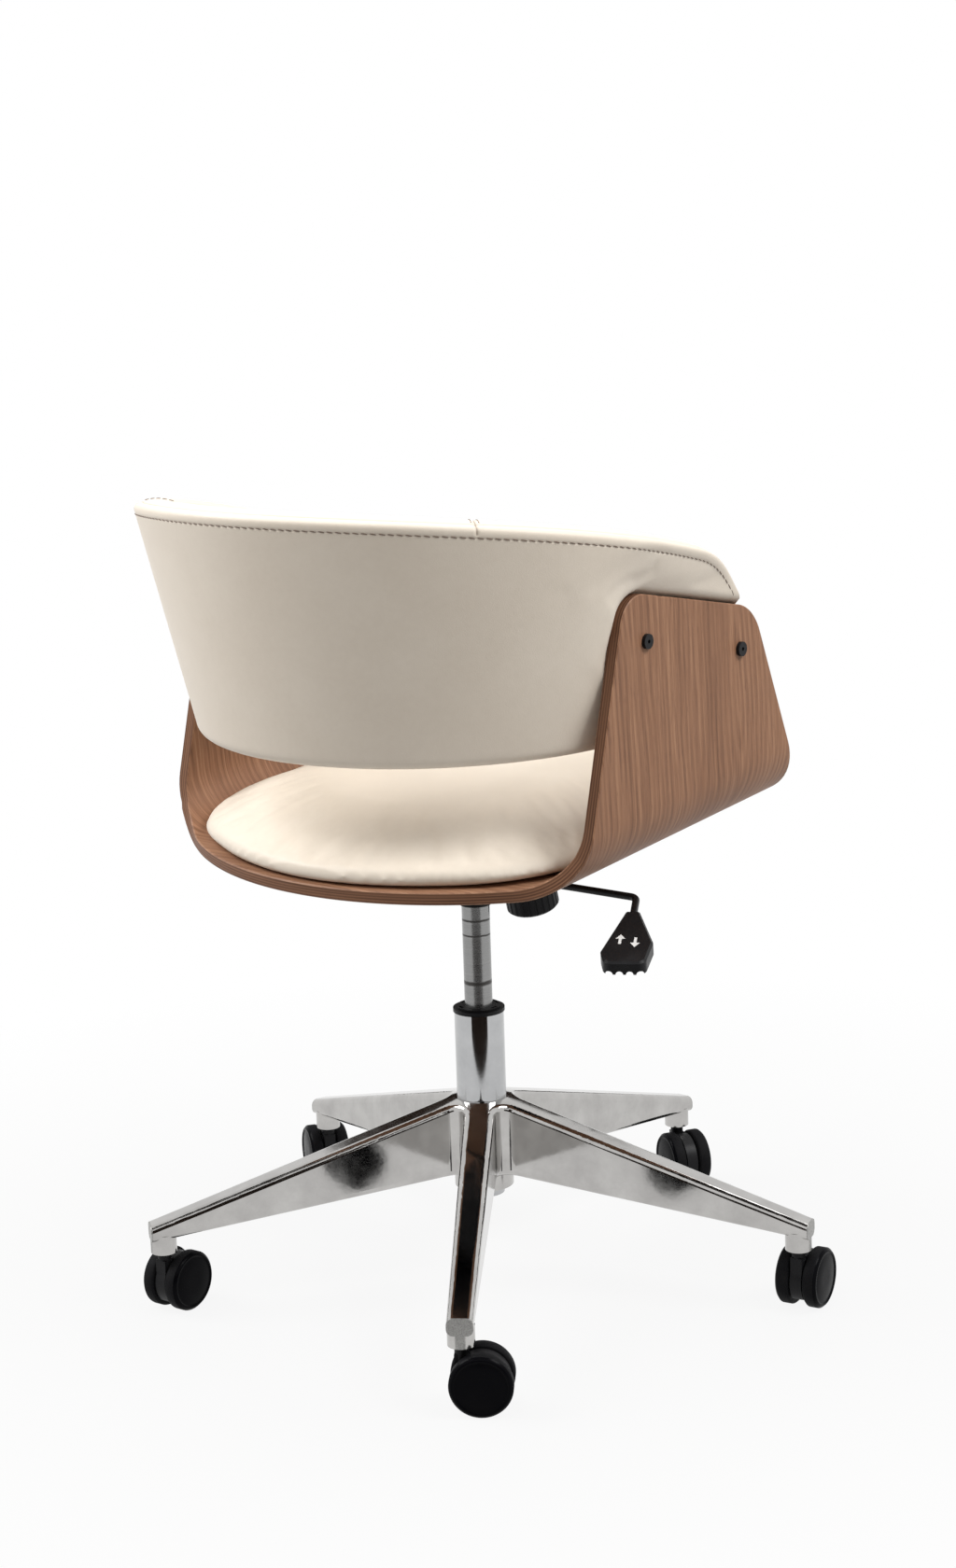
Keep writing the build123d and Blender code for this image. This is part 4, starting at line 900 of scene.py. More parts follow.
        bmesh.ops.recalc_face_normals(bm, faces=bm.faces)
        piece = settle(bm, "bent_shell", 40.0)
        dress(piece, Finish.WALNUT, Finish.PLY_EDGE)
        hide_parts("seat_shell")
        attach(piece, "seat")
        return piece


@dataclass
class SeatPad:
    """The crowned leather seat pad."""

    half_width: float = 0.229
    rear: float = 0.253
    rear_sag: float = 0.098
    front: float = -0.215
    front_sag: float = 0.022
    corner: float = 0.062
    low: float = 0.0126
    bulge: float = 0.023
    crown: float = 0.060
    side_tuck: float = 0.033
    end_tuck: float = 0.006
    middle: float = 0.02
    crown_flat: float = 4.0
    crown_full: float = 0.62
    underside: float = 0.5
    pinned: float = 0.006
    pressure: float = 4.0
    most: float = 0.005
    voxel: float = 0.005

    def rim(self, turn: float) -> tuple[float, float]:
        """A point of the pad's widest outline.

        Args:
            turn: Angle round the middle of the pad.

        Returns:
            Its x and y in the seat frame.
        """
        c, s = math.cos(turn), math.sin(turn)
        low, high = 0.0, 0.4
        for _ in range(36):
            reach = (low + high) / 2
            if self.outside(reach * c, self.middle + reach * s) < 0.0:
                low = reach
            else:
                high = reach
        return low * c, self.middle + low * s

    def outside(self, x: float, y: float) -> float:
        """How far a point lies outside the plan with its rounded corners, about.

        Args:
            x: The seat frame's x.
            y: The seat frame's y.

        Returns:
            The distance, negative inside.
        """
        share = (x / self.half_width) ** 2
        to_side = abs(x) - self.half_width
        to_rear = y - (self.rear - self.rear_sag * share)
        to_front = (self.front + self.front_sag * share) - y
        to_end = max(to_rear, to_front)
        a, b = to_side + self.corner, to_end + self.corner
        if a > 0.0 and b > 0.0:
            return math.hypot(a, b) - self.corner
        return max(to_side, to_end)

    def build(self) -> bpy.types.Object:
        """Shapes, remeshes and fills the pad.

        Returns:
            The pad.
        """
        bm = bmesh.new()
        bmesh.ops.create_uvsphere(bm, u_segments=160, v_segments=64, radius=1.0)
        cache: dict[int, tuple[float, float]] = {}
        for vertex in bm.verts:
            turn = math.atan2(vertex.co.y, vertex.co.x)
            key = round(turn * 1e4)
            if key not in cache:
                cache[key] = self.rim(turn)
            x, y = cache[key]
            ring = math.hypot(vertex.co.x, vertex.co.y)
            tilt = math.asin(max(-1.0, min(1.0, vertex.co.z)))
            if vertex.co.z >= 0.0:
                share = 1.0 - tilt / (math.pi / 2)
                swell = (1.0 - share**self.crown_flat) ** self.crown_full
                height = mix(self.bulge, self.crown, swell)
                scale = share
            else:
                share = min(1.0, -tilt / self.underside)
                height = mix(self.bulge, self.low, math.sin(share * math.pi / 2))
                scale = 1.0 if share < 1 else ring / math.cos(self.underside)
                x *= 1.0 - self.side_tuck / self.half_width * (1.0 - math.cos(share * math.pi / 2))
                y *= 1.0 - self.end_tuck / self.rear * (1.0 - math.cos(share * math.pi / 2))
            vertex.co = (x * scale, self.middle + (y - self.middle) * scale, height)
        close_up(bm)
        bmesh.ops.transform(bm, matrix=SEAT_FRAME, verts=bm.verts)
        rough = settle(bm, "seat_pad_form")
        remesh = rough.modifiers.new("Remesh", "REMESH")
        remesh.mode = "VOXEL"
        remesh.voxel_size = self.voxel
        graph = bpy.context.evaluated_depsgraph_get()
        mesh = bpy.data.meshes.new_from_object(rough.evaluated_get(graph))
        mesh.name = "seat_pad"
        bpy.data.objects.remove(rough)
        piece = bpy.data.objects.new("seat_pad", mesh)
        bpy.context.scene.collection.objects.link(piece)
        heights = ((SEAT_FRAME_BACK @ vertex.co).z for vertex in mesh.vertices)
        held = [1.0 if height < self.bulge + self.pinned else 0.0 for height in heights]
        puff(piece, held, self.pressure, self.most)
        for polygon in mesh.polygons:
            polygon.use_smooth = True
        smooth = piece.modifiers.new("Soften", "SUBSURF")
        smooth.levels = smooth.render_levels = 1
        dress(piece, Finish.LEATHER)
        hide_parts("seat_cushion")
        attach(piece, "seat")
        return piece


@dataclass
class Backrest:
    """The leather backrest, a padded band wrapped round behind and let over the panels."""

    foot: float = 0.5835
    head: float = 0.8205
    radius_low: float = 0.2476
    radius_at: float = 0.640
    lean: float = 13.0
    centre: float = 0.042
    thick: Row = (0.042, 0.060, 0.048)
    arm_front: float = -0.108
    arm_bottom: float = 0.593
    arm_top: float = 0.7619
    arm_top_y: float = -0.010
    nose_z: float = 0.684
    top_middle: tuple[float, float] = (0.140, 0.7945)
    edge: float = 0.008
    skin: float = 0.012
    panel_face: float = 0.2424
    dome: float = 0.0042
    first_z: float = 0.7
    sole_dip: float = 0.0006
    border_seams: tuple[float, float] = (0.055, 0.945)
    border_lips: tuple[float, ...] = (0.03, 0.08, 0.92, 0.97)
    lip_share: float = 0.25
    seam_depth: float = 0.0013
    seam_half: float = 0.0011
    # Half-width of the painted shade line along each cross seam
    seam_shade_width: float = 0.0009
    seam_steps: tuple[float, ...] = (-0.0035, -0.0022, -0.0011, 0.0, 0.0011, 0.0022, 0.0035)
    seam_clear: float = 0.0042
    stitch_drop: float = 0.003
    stitch_sink: float = 0.0006
    stitch_slant: float = 0.0004
    stitch_from: float = 0.008
    pitch: float = 0.0072
    gap: float = 0.0016
    thread_radius: float = 0.00048
    thread_lift: float = 0.0001
    beside: float = 0.0034
    cross_count: int = 5
    cross_from: float = 0.12
    cross_pitch: float = 0.155
    cross_long: float = 0.115
    cross_lift: float = 0.0003
    clear: float = 0.0010
    roll: float = 0.010
    roll_rear: float = 0.026
    roll_blend: float = 0.05
    flush: float = 0.2560
    flare: float = 0.055
    cross_at: float = 46.0
    mean_radius: float = 0.265
    end_round: float = 0.010
    end_draw: tuple[float, float] = (0.42, 0.22)
    end_swell: float = 0.0012
    stations: int = 400
    pressure: float = 3.0
    most: float = 0.0035

    def __post_init__(self) -> None:
        """Works out the arcs of the side view."""
        self.rear = self.centre + self.radius(self.head) + self.skin
        a, b, c = Vector((self.rear, self.head)), Vector(self.top_middle), Vector((self.arm_top_y, self.arm_top))
        d = 2 * (a.x * (b.y - c.y) + b.x * (c.y - a.y) + c.x * (a.y - b.y))
        aa, bb, cc = a.length_squared, b.length_squared, c.length_squared
        across = (aa * (b.y - c.y) + bb * (c.y - a.y) + cc * (a.y - b.y)) / d
        upward = (aa * (c.x - b.x) + bb * (a.x - c.x) + cc * (b.x - a.x)) / d
        heart = Vector((across, upward))
        self.top_heart, self.top_r = heart, (a - heart).length
        normal = (heart - c).normalized()
        nose = Vector((self.arm_front, self.nose_z))
        chord = nose - c
        reach = chord.length_squared / (2 * chord.dot(normal))
        self.nose_heart, self.nose_r = c + normal * reach, abs(reach)

    @property
    def arm_length(self) -> float:
        """Length of an arm forward of the round back."""
        return self.centre - self.arm_front

    @property
    def round_length(self) -> float:
        """Length of the round back at its mean radius."""
        return math.pi * self.mean_radius

    @property
    def whole(self) -> float:
        """Length of the band."""
        return 2 * self.arm_length + self.round_length

    @property
    def cross_seams(self) -> list[float]:
        """Where the border's two cross seams lie along the band."""
        return [self.whole / 2 + sign * math.radians(self.cross_at) * self.mean_radius for sign in (-1.0, 1.0)]

    def radius(self, z: float) -> float:
        """Radius of the outer face at a height."""
        return self.radius_low + (z - self.radius_at) * math.tan(math.radians(self.lean))

    def depth(self, z: float) -> float:
        """Thickness of the band, a parabola through its three driving thicknesses.

        Args:
            z: Height above the floor.

        Returns:
            The thickness.
        """
        low = self.foot - self.skin
        t = (z - low) / (self.head + self.skin - low)
        at_foot, at_middle, at_head = self.thick
        return at_foot * (1 - t) * (1 - 2 * t) + at_middle * 4 * t * (1 - t) + at_head * t * (2 * t - 1)

    def top(self, y: float) -> float:
        """Height of the top edge.

        Args:
            y: Distance back from the column.

        Returns:
            The height above the floor.
        """
        if y >= self.arm_top_y:
            rise = math.sqrt(max(0.0, self.top_r**2 - (y - self.top_heart.x) ** 2))
            return self.top_heart.y + (rise if self.top_heart.y < self.head else -rise)
        y = max(y, self.arm_front)
        rise = math.sqrt(max(0.0, self.nose_r**2 - (y - self.nose_heart.x) ** 2))
        return self.nose_heart.y + (rise if self.nose_heart.y < self.arm_top else -rise)

    def bottom(self, y: float) -> float:
        """Height of the bottom edge at a distance back."""
        return mix(self.arm_bottom, self.foot, (y - self.arm_front) / (self.rear - self.arm_front))

    def spots(self) -> list[float]:
        """Stations along the band, from one arm's front through the back to the other's.

        Returns:
            Their distances along the outer face, closer together at the cross seams.
        """
        marks = [self.whole * i / self.stations for i in range(self.stations + 1)]
        for seam in self.cross_seams:
            marks = [m for m in marks if abs(m - seam) > self.seam_clear]
            marks += [seam + step for step in self.seam_steps]
        return sorted(marks)

    def station(self, spot: float) -> tuple[float, float]:
        """A station's angle on the round back and its run forward on an arm.

        Args:
            spot: Distance along the band.

        Returns:
            The angle in radians, 0 to pi, and the run forward of the round's ends.
        """
        along = spot - self.arm_length
        if along < 0.0:
            return 0.0, -along
        if along > self.round_length:
            return math.pi, along - self.round_length
        return along / self.mean_radius, 0.0

    def plan(self, angle: float, run: float, reach: float) -> tuple[float, float]:
        """Plan position of a point at a station.

        Args:
            angle: The station's angle.
            run: Its run forward.
            reach: The point's distance from the round's middle.

        Returns:
            Its x and y.
        """
        return reach * math.cos(angle), self.centre + reach * math.sin(angle) - run

    def loop(self) -> list[tuple[str, float]]:
        """The section's points in order.

        Returns:
            Each point as the side it lies on and its place there.
        """
        foot, lines = [0.0, 0.02, 0.05], [0.005, 0.0038, self.stitch_drop, 0.0022, 0.001]
        outer = foot + [0.09 + 0.82 * i / 46 for i in range(47)] + [0.94]
        inner = foot + [0.09 + 0.82 * i / 30 for i in range(31)] + [0.94]
        half = [0.03, 0.055, 0.08, 0.13, 0.2, 0.28, 0.36, 0.43]
        other = [0.57, 0.64, 0.72, 0.8, 0.87, 0.92, 0.945, 0.97]
        sides = (
            ("outer", outer),
            ("outer_line", lines),
            ("crest_out", [i / 6 for i in range(7)]),
            ("border", [*half, 0.5, *other]),
            ("crest_in", [i / 6 for i in range(7)]),
            ("inner_line", lines[::-1]),
            ("inner", inner[::-1]),
            ("foot_in", [i / 5 for i in range(6)]),
            ("sole", [0.15, 0.32, 0.5, 0.68, 0.85]),
            ("foot_out", [i / 5 for i in range(5)]),
        )
        return [(side, t) for side, places in sides for t in places]

    def place(self, angle: float, run: float, side: str, t: float, lift: float = 0.0) -> Vector:
        """A point of the leather's surface.

        Args:
            angle: The station's angle.
            run: Its run forward.
            side: Which side of the section it lies on.
            t: Its place on that side.
            lift: Distance out of the surface.

        Returns:
            The point.
        """
        r, out = self.edge, self.edge + lift
        sweep = t * math.pi / 2
        rise, fall = math.sin(sweep), math.cos(sweep)
        z, inset = self.first_z, 0.0
        for _ in range(4):
            _, y = self.plan(angle, run, self.radius(z) - inset)
            top, bottom, deep = self.top(y), self.bottom(y), self.depth(z)
            if side == "outer":
                z, inset = bottom + r + (top - bottom - 2 * r) * t, -lift
            elif side == "inner":
                z, inset = bottom + r + (top - bottom - 2 * r) * t, deep + lift
            elif side == "outer_line":
                z, inset = top - r - t, -lift
            elif side == "inner_line":
                z, inset = top - r - t, deep + lift
            elif side == "crest_out":
                z, inset = top - r + out * rise, r - out * fall
            elif side == "crest_in":
                z, inset = top - r + out * fall, deep - r + out * rise
            elif side == "border":
                z = top + self.dome * math.sin(math.pi * t) ** 0.8 + lift
                inset = r + (deep - 2 * r) * t
            elif side == "foot_in":
                z, inset = bottom + r - r * rise, deep - r + r * fall
            elif side == "sole":
                z, inset = bottom - self.sole_dip * math.sin(math.pi * t), deep - r - (deep - 2 * r) * t
            else:
                z, inset = bottom + r - r * fall, r - r * rise
        x, y = self.plan(angle, run, self.radius(z) - inset)
        return Vector((x, y, z))

    def let_in(self, point: Vector, shell: BentShell) -> Vector:
        """Draws the leather in where a panel stands against it.

        Args:
            point: A point of the surface.
            shell: The shell whose panels are let in.

        Returns:
            The point, held clear of the panel.
        """
        if abs(point.x) <= self.panel_face:
            return point
        local = SEAT_FRAME_BACK @ point
        spot = Vector((local.y, local.z))
        away = shell.beyond(spot) - self.clear
        above, behind = ((spot - tip).dot(way) for tip, way in shell.sides[:2])
        roll = mix(self.roll, self.roll_rear, ease(0.5 + (behind - above) / self.roll_blend))
        share = math.sqrt(1.0 - (1.0 - min(1.0, max(0.0, away / roll))) ** 2)
        edge = mix(self.panel_face, min(self.flush, abs(point.x)), share)
        return Vector((math.copysign(mix(edge, abs(point.x), ease(away / self.flare)), point.x), point.y, point.z))

    def sewn(self, spot: float, side: str, t: float) -> tuple[float, float, float]:
        """What the sewing does to a point of the section.

        Args:
            spot: Its station's distance along the band.
            side: Which side of the section it lies on.
            t: Its place on that side.

        Returns:
            Its lift out of the surface, 1 where the filling can't move it, and how much painted shade its seam
            groove gets.
        """
        lift, pin, dark = 0.0, 0.0, 0.0
        # Seam grooves get painted shade (dark) as well as their sunk lift
        if side == "border" and t in self.border_seams:
            lift, pin, dark = -self.seam_depth, 1.0, 1.0
        elif side == "border" and t in self.border_lips:
            lift = -self.seam_depth * self.lip_share
        elif side in ("outer_line", "inner_line") and t == self.stitch_drop:
            lift, pin = -self.stitch_sink, 1.0
        if side in ("border", "crest_out", "crest_in"):
            near = min(abs(spot - seam) for seam in self.cross_seams)
            lift -= self.seam_depth * math.exp(-((near / self.seam_half) ** 2))
            dark = max(dark, math.exp(-((near / self.seam_shade_width) ** 2)))
            pin = max(pin, 1.0 if near < 1e-4 else 0.0)
        if side in ("sole", "foot_in", "foot_out"):
            pin = 1.0
        return lift, pin, dark

    def drawn(self, point: Vector, spot: float) -> Vector:
        """Draws a point in where it lies on an arm's rounded front end.

        Args:
            point: A point of the surface.
            spot: Its station's distance along the band.

        Returns:
            The point, drawn in.
        """
        end = min(spot, self.whole - spot)
        if end >= self.end_round:
            return point
        middle = self.place(*self.station(spot), "outer", 0.5)
        heart_x = math.copysign(abs(middle.x) - self.depth(middle.z) / 2, middle.x)
        heart_z = (self.top(self.arm_front) + self.bottom(self.arm_front)) / 2
        draw = 1.0 - math.sqrt(max(0.0, 1.0 - (1.0 - end / self.end_round) ** 2))
        aside, upright = self.end_draw
        return Vector((mix(point.x, heart_x, draw * aside), point.y, mix(point.z, heart_z, draw * upright)))

    def build(self, shell: BentShell) -> list[bpy.types.Object]:
        """Makes the leather band and its sewing.

        Args:
            shell: The shell that the band is let over.

        Returns:
            The band and its thread.
        """
        spots, loop = self.spots(), self.loop()
        count, around = len(spots), len(loop)
        bm = bmesh.new()
        bmesh.ops.create_grid(bm, x_segments=count - 1, y_segments=around, size=1.0, calc_uvs=False)
        pin_layer = bm.verts.layers.float.new("pin")
        # This layer holds the painted shade that the leather lays along the seam grooves
        seam_shade_layer = bm.verts.layers.float.new("seam")
        for vertex in bm.verts:
            spot = spots[round((vertex.co.x + 1.0) / 2 * (count - 1))]
            side, t = loop[round((vertex.co.y + 1.0) / 2 * around) % around]
            lift, pin, dark = self.sewn(spot, side, t)
            point = self.place(*self.station(spot), side, t, lift)
            vertex.co = self.let_in(self.drawn(point, spot), shell)
            on_panel = abs(abs(vertex.co.x) - self.panel_face) < 1e-5
            vertex[pin_layer] = 1.0 if on_panel else pin
            vertex[seam_shade_layer] = dark
        bmesh.ops.remove_doubles(bm, verts=bm.verts, dist=1e-6)
        rims = [edge for edge in bm.edges if edge.is_boundary]
        bmesh.ops.holes_fill(bm, edges=rims, sides=0)
        bmesh.ops.recalc_face_normals(bm, faces=bm.faces)
        ends = [face for face in bm.faces if len(face.verts) > 4]
        bmesh.ops.poke(bm, faces=ends, offset=self.end_swell)
        held = [vertex[pin_layer] for vertex in bm.verts]
        band = settle(bm, "backrest_leather")
        puff(band, held, self.pressure, self.most)
        dress(band, Finish.LEATHER)
        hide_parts("back_cushion")
        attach(band, "seat")
        return [band, self.sew(shell)]

    def stitch(self, bm: bmesh.types.BMesh, a: Vector, b: Vector) -> None:
        """Adds one stitch to the thread.

        Args:
            bm: The thread.
            a: The hole that it comes out of.
            b: The hole that it goes into.
        """
        way = b - a
        turn = way.to_track_quat("Z", "Y").to_matrix().to_4x4()
        made = bmesh.ops.create_uvsphere(bm, u_segments=6, v_segments=6, radius=1.0)
        size = Matrix.Diagonal((self.thread_radius, self.thread_radius, way.length / 2, 1.0))
        bmesh.ops.transform(bm, matrix=Matrix.Translation((a + b) / 2) @ turn @ size, verts=made["verts"])

    def sew(self, shell: BentShell) -> bpy.types.Object:
        """Sews the topstitching as single stitches.

        Args:
            shell: The shell that the band is let over.

        Returns:
            The thread.
        """
        bm = bmesh.new()
        high, low = self.stitch_drop - self.stitch_slant, self.stitch_drop + self.stitch_slant
        for side in ("outer_line", "inner_line"):
            for k in range(int((self.whole - 2 * self.stitch_from) / self.pitch)):
                start = self.stitch_from + k * self.pitch
                a = self.place(*self.station(start + self.gap / 2), side, high, self.thread_lift)
                b = self.place(*self.station(start + self.pitch - self.gap / 2), side, low, self.thread_lift)
                self.stitch(bm, self.let_in(a, shell), self.let_in(b, shell))
        for seam in self.cross_seams:
            for beside in (-self.beside, self.beside):
                at = self.station(seam + beside)
                for k in range(self.cross_count):
                    t = self.cross_from + k * self.cross_pitch
                    a = self.place(*at, "border", t, self.cross_lift)
                    b = self.place(*at, "border", t + self.cross_long, self.cross_lift)
                    self.stitch(bm, a, b)
        thread = settle(bm, "backrest_stitching")
        dress(thread, Finish.THREAD)
        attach(thread, "seat")
        return thread


@dataclass
class CasterWheels:
    """The ten wheels, with glossy faces and dull treads."""

    radius: float = 0.030
    width: float = 0.014
    track: float = 0.029
    crown: float = 0.0015
    bevel: float = 0.0026
    disc: float = 0.0245
    step: float = 0.0008
    bore: float = 0.00405
    bore_depth: float = 0.010
    trail: float = 0.018
    socket: float = 0.330
    leg_turn: float = 123.8
    turns: tuple[float, ...] = (214.0, 273.0, 324.0, 147.0, 279.0)
    soft: float = 0.0007
    tread_deep: float = 0.0012
    back_deep: float = 0.0004

    def profile(self) -> list[tuple[float, float]]:
        """Half section of a wheel, from the bore round to the disc's middle.

        Returns:
            Its points, as radius and place along the axle.
        """
        inner, outer = -self.width / 2, self.width / 2
        r, soft = self.radius, self.soft
        return [
            (self.bore, inner + self.bore_depth),
            (self.bore, inner),
            (r - self.crown - soft, inner),
            (r - self.crown, inner + soft * 0.3),
            (r - soft * 0.4, inner + self.crown),
            (r, inner + self.crown + soft),
            (r, outer - self.bevel - soft),
            (r - soft * 0.35, outer - self.bevel),
            (r - self.bevel + soft * 0.2, outer - soft * 0.5),
            (r - self.bevel - soft, outer),
            (self.disc + self.step + soft * 0.6, outer),
            (self.disc + self.step, outer - soft * 0.3),
            (self.disc, outer - self.step),
            (self.disc - 0.0016, outer - self.step),
            (self.disc - 0.0030, outer - self.step + 0.0004),
            (0.0080, outer - self.step + 0.0005),
            (0.0, outer - self.step + 0.0005),
        ]

    def spin(self) -> bmesh.types.BMesh:
        """Spins one wheel about z.

        Returns:
            The wheel, its tread and back marked for the second finish.
        """
        bm = bmesh.new()
        chain = [bm.verts.new((r, 0.0, w)) for r, w in self.profile()]
        edges = [bm.edges.new(pair) for pair in zip(chain, chain[1:])]
        bmesh.ops.spin(
            bm, geom=chain + edges, cent=(0, 0, 0), axis=(0, 0, 1), angle=math.tau, steps=72, use_merge=True
        )
        close_up(bm)
        for face in bm.faces:
            heart = face.calc_center_median()
            tread = math.hypot(heart.x, heart.y) > self.radius - self.tread_deep
            face.material_index = int(tread or heart.z < -self.width / 2 + self.back_deep)
        return bm

    def build(self) -> list[bpy.types.Object]:
        """Puts each wheel on its axle.

        Returns:
            The wheels.
        """
        made = []
        for number, trail in enumerate(self.turns, start=1):
            leg = math.radians(self.leg_turn - 72.0 * (number - 1))
            turn = math.radians(trail)
            along = Vector((math.cos(turn), math.sin(turn), 0.0))
            across = Vector((-math.sin(turn), math.cos(turn), 0.0))
            foot = Vector((self.socket * math.cos(leg), self.socket * math.sin(leg), self.radius))
            for hand, sense in (("left", 1.0), ("right", -1.0)):
                hub = foot + along * self.trail + across * (sense * self.track / 2)
                axis = across * sense
                stand = Matrix((along, axis.cross(along), axis)).transposed().to_4x4()
                bm = self.spin()
                bmesh.ops.transform(bm, matrix=Matrix.Translation(hub) @ stand, verts=bm.verts)
                bmesh.ops.recalc_face_normals(bm, faces=bm.faces)
                wheel = settle(bm, f"wheel_{hand}_{number}", 34.0)
                dress(wheel, Finish.GLOSS_BLACK, Finish.TREAD)
                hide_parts(f"caster_wheel_{hand}_{number}")
                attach(wheel, f"wheel_{hand}_{number}")
                made.append(wheel)
        return made


@dataclass
class PaddleArrows:
    """Two arrows printed on the lever's paddle, for up and down."""

    bend: Row = (-0.219, 0.033, 0.434)
    turn: float = 119.5
    drop: float = 14.0
    reach: float = 0.0367
    face: float = 0.0065
    ink: float = 0.00015
    out: float = 0.056
    apart: float = 0.007
    head: float = 0.0052
    head_at: float = 0.0062
    shaft_at: float = -0.0012
    shaft_half: tuple[float, float] = (0.0048, 0.0013)

    def build(self) -> bpy.types.Object:
        """Prints the arrows.

        Returns:
            The arrows.
        """
        turn, drop = math.radians(self.turn), math.radians(self.drop)
        along = Vector((math.cos(turn) * math.cos(drop), math.sin(turn) * math.cos(drop), -math.sin(drop)))
        across = Vector((-math.sin(turn), math.cos(turn), 0.0))
        stand = Matrix((along, across, along.cross(across))).transposed().to_4x4()
        start = Matrix.Translation(Vector(self.bend) + along * self.reach)
        bm = bmesh.new()
        for sense in (1.0, -1.0):
            head = bmesh.ops.create_circle(bm, cap_ends=True, segments=3, radius=self.head)["verts"]
            point = Matrix.Translation((self.head_at * sense, 0.0, 0.0))
            bmesh.ops.transform(bm, matrix=point @ Matrix.Rotation(-sense * math.pi / 2, 4, "Z"), verts=head)
            shaft = bmesh.ops.create_grid(bm, x_segments=1, y_segments=1, size=1.0)["verts"]
            tail = Matrix.Translation((self.shaft_at * sense, 0.0, 0.0))
            bmesh.ops.transform(bm, matrix=tail @ Matrix.Diagonal((*self.shaft_half, 1.0, 1.0)), verts=shaft)
            bmesh.ops.translate(bm, verts=head + shaft, vec=(self.out, self.apart * sense, self.face))
        raised = bmesh.ops.extrude_face_region(bm, geom=bm.faces[:])["geom"]
        lifted = [item for item in raised if isinstance(item, bmesh.types.BMVert)]
        bmesh.ops.translate(bm, verts=lifted, vec=(0.0, 0.0, self.ink))
        bmesh.ops.transform(bm, matrix=start @ stand, verts=bm.verts)
        bmesh.ops.recalc_face_normals(bm, faces=bm.faces)
        marks = settle(bm, "paddle_arrows", 30.0)
        dress(marks, Finish.MARK)
        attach(marks, "lever")
        return marks


@dataclass
class TensionSpring:
    """The tension spring, a coil of fixed length between the knob and the housing, carried with the seat."""

    knob: Row = (0.0, -0.0956, 0.366)
    lean: float = 15.0
    low: float = 0.00855
    high: float = 0.04115
    coil: float = 0.017
    wire: float = 0.00225
    turns: int = 4
    steps: int = 32
    tilted: float = 0.60

    def build(self) -> bpy.types.Object:
        """Winds the wire.

        Returns:
            The spring.
        """
        stand = Matrix.Translation(self.knob) @ Matrix.Rotation(-math.radians(self.lean), 4, "X")
        count = self.turns * self.steps
        bm = bmesh.new()
        ring = bmesh.ops.create_circle(bm, segments=12, radius=self.wire)["verts"]
        start = Matrix.Translation((self.coil, 0.0, self.low)) @ Matrix.Rotation(math.pi / 2, 4, "X")
        bmesh.ops.transform(bm, matrix=start, verts=ring)
        rise = (0.0, 0.0, (self.high - self.low) / count)
        bmesh.ops.spin(
            bm, geom=bm.verts[:] + bm.edges[:], cent=(0, 0, 0), axis=(0, 0, 1), dvec=rise,
            angle=math.tau * self.turns, steps=count,
        )
        bmesh.ops.holes_fill(bm, edges=[e for e in bm.edges if e.is_boundary], sides=0)
        bmesh.ops.transform(bm, matrix=stand, verts=bm.verts)
        bmesh.ops.recalc_face_normals(bm, faces=bm.faces)
        spring = settle(bm, "coil_spring", 60.0)
        dress(spring, Finish.BLACK_STEEL)
        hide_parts("tension_spring")
        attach(spring, "seat")
        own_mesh(spring)
        return spring


@dataclass
class Hardware:
    """The rigid pieces that keep their own shape and get their finishes here."""

    finishes: dict[Finish, tuple[str, ...]]

    def build(self) -> int:
        """Dresses each piece.

        Returns:
            How many were dressed.
        """
        count = 0
        for finish, names in self.finishes.items():
            for name in names:
                dress(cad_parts[name], finish)
                count += 1
        return count


def each_caster(stem: str) -> tuple[str, ...]:
    """Names of a caster piece on all five legs."""
    return tuple(f"{stem}_{number}" for number in range(1, 6))


HARDWARE = {
    Finish.CASTING: ("star_base",),
    Finish.CHROME: ("column_tube",),
    Finish.PISTON: ("gas_cylinder",),
    Finish.BLACK_PLASTIC: (
        "column_bush", "cone_bush", "tension_knob", "lever_paddle", "lever_bush", "lock_slider", "pivot_bushes",
        "tilt_stop", "caster_sleeves", *each_caster("caster_hood"),
    ),
    Finish.BLACK_STEEL: ("mechanism_housing", "seat_plate", "lever_rod", "side_bolts", "spring_seat"),
    Finish.STEEL: (
        "piston_rod", "rod_clip", "thrust_bearing", "valve_button", "pivot_pin", "pin_clips", "tension_bolt",
        "tension_nut", "tee_nuts", "plate_bolts", "side_inserts",
        *each_caster("caster_stem"), *each_caster("caster_axle"),
    ),
    Finish.RUBBER: ("bump_stop",),
    Finish.BOARD: ("seat_board", "back_former"),
}


# Dark cards by name: where each hangs, what it faces, its width and its height
CARDS = {
    "card_camera_side": ((-2.4, 3.0, 1.3), (0.0, 0.0, 0.4), 1.5, 2.4),
    "card_above": ((-0.4, 0.6, 2.6), (0.0, 0.0, 0.3), 2.2, 2.2),
    "card_far": ((1.25, -1.6, 0.80), (0.0, 0.0, 0.15), 1.5, 0.8),
    "card_low": ((-0.40, 0.50, 0.13), (0.0, 0.0, 0.13), 0.95, 0.24),
}
# Lamps by name: where each hangs, what it points at, its side and its watts
LAMPS = {
    "key": ((2.1, 1.35, 2.6), (0.0, 0.0, 0.65), 1.6, 82.0),
    "fill": ((-2.1, -0.5, 2.8), (0.0, 0.0, 0.6), 1.4, 76.0),
    "top_front": ((0.2, -0.6, 3.2), (0.0, 0.0, 0.5), 1.6, 22.0),
    "top_rear": ((-0.2, 1.5, 3.05), (0.0, 0.1, 0.5), 1.2, 24.0),
}
# Rays that see the white surround instead of the soft light
SEEING_RAYS = ("Is Camera Ray", "Is Glossy Ray", "Is Transmission Ray")


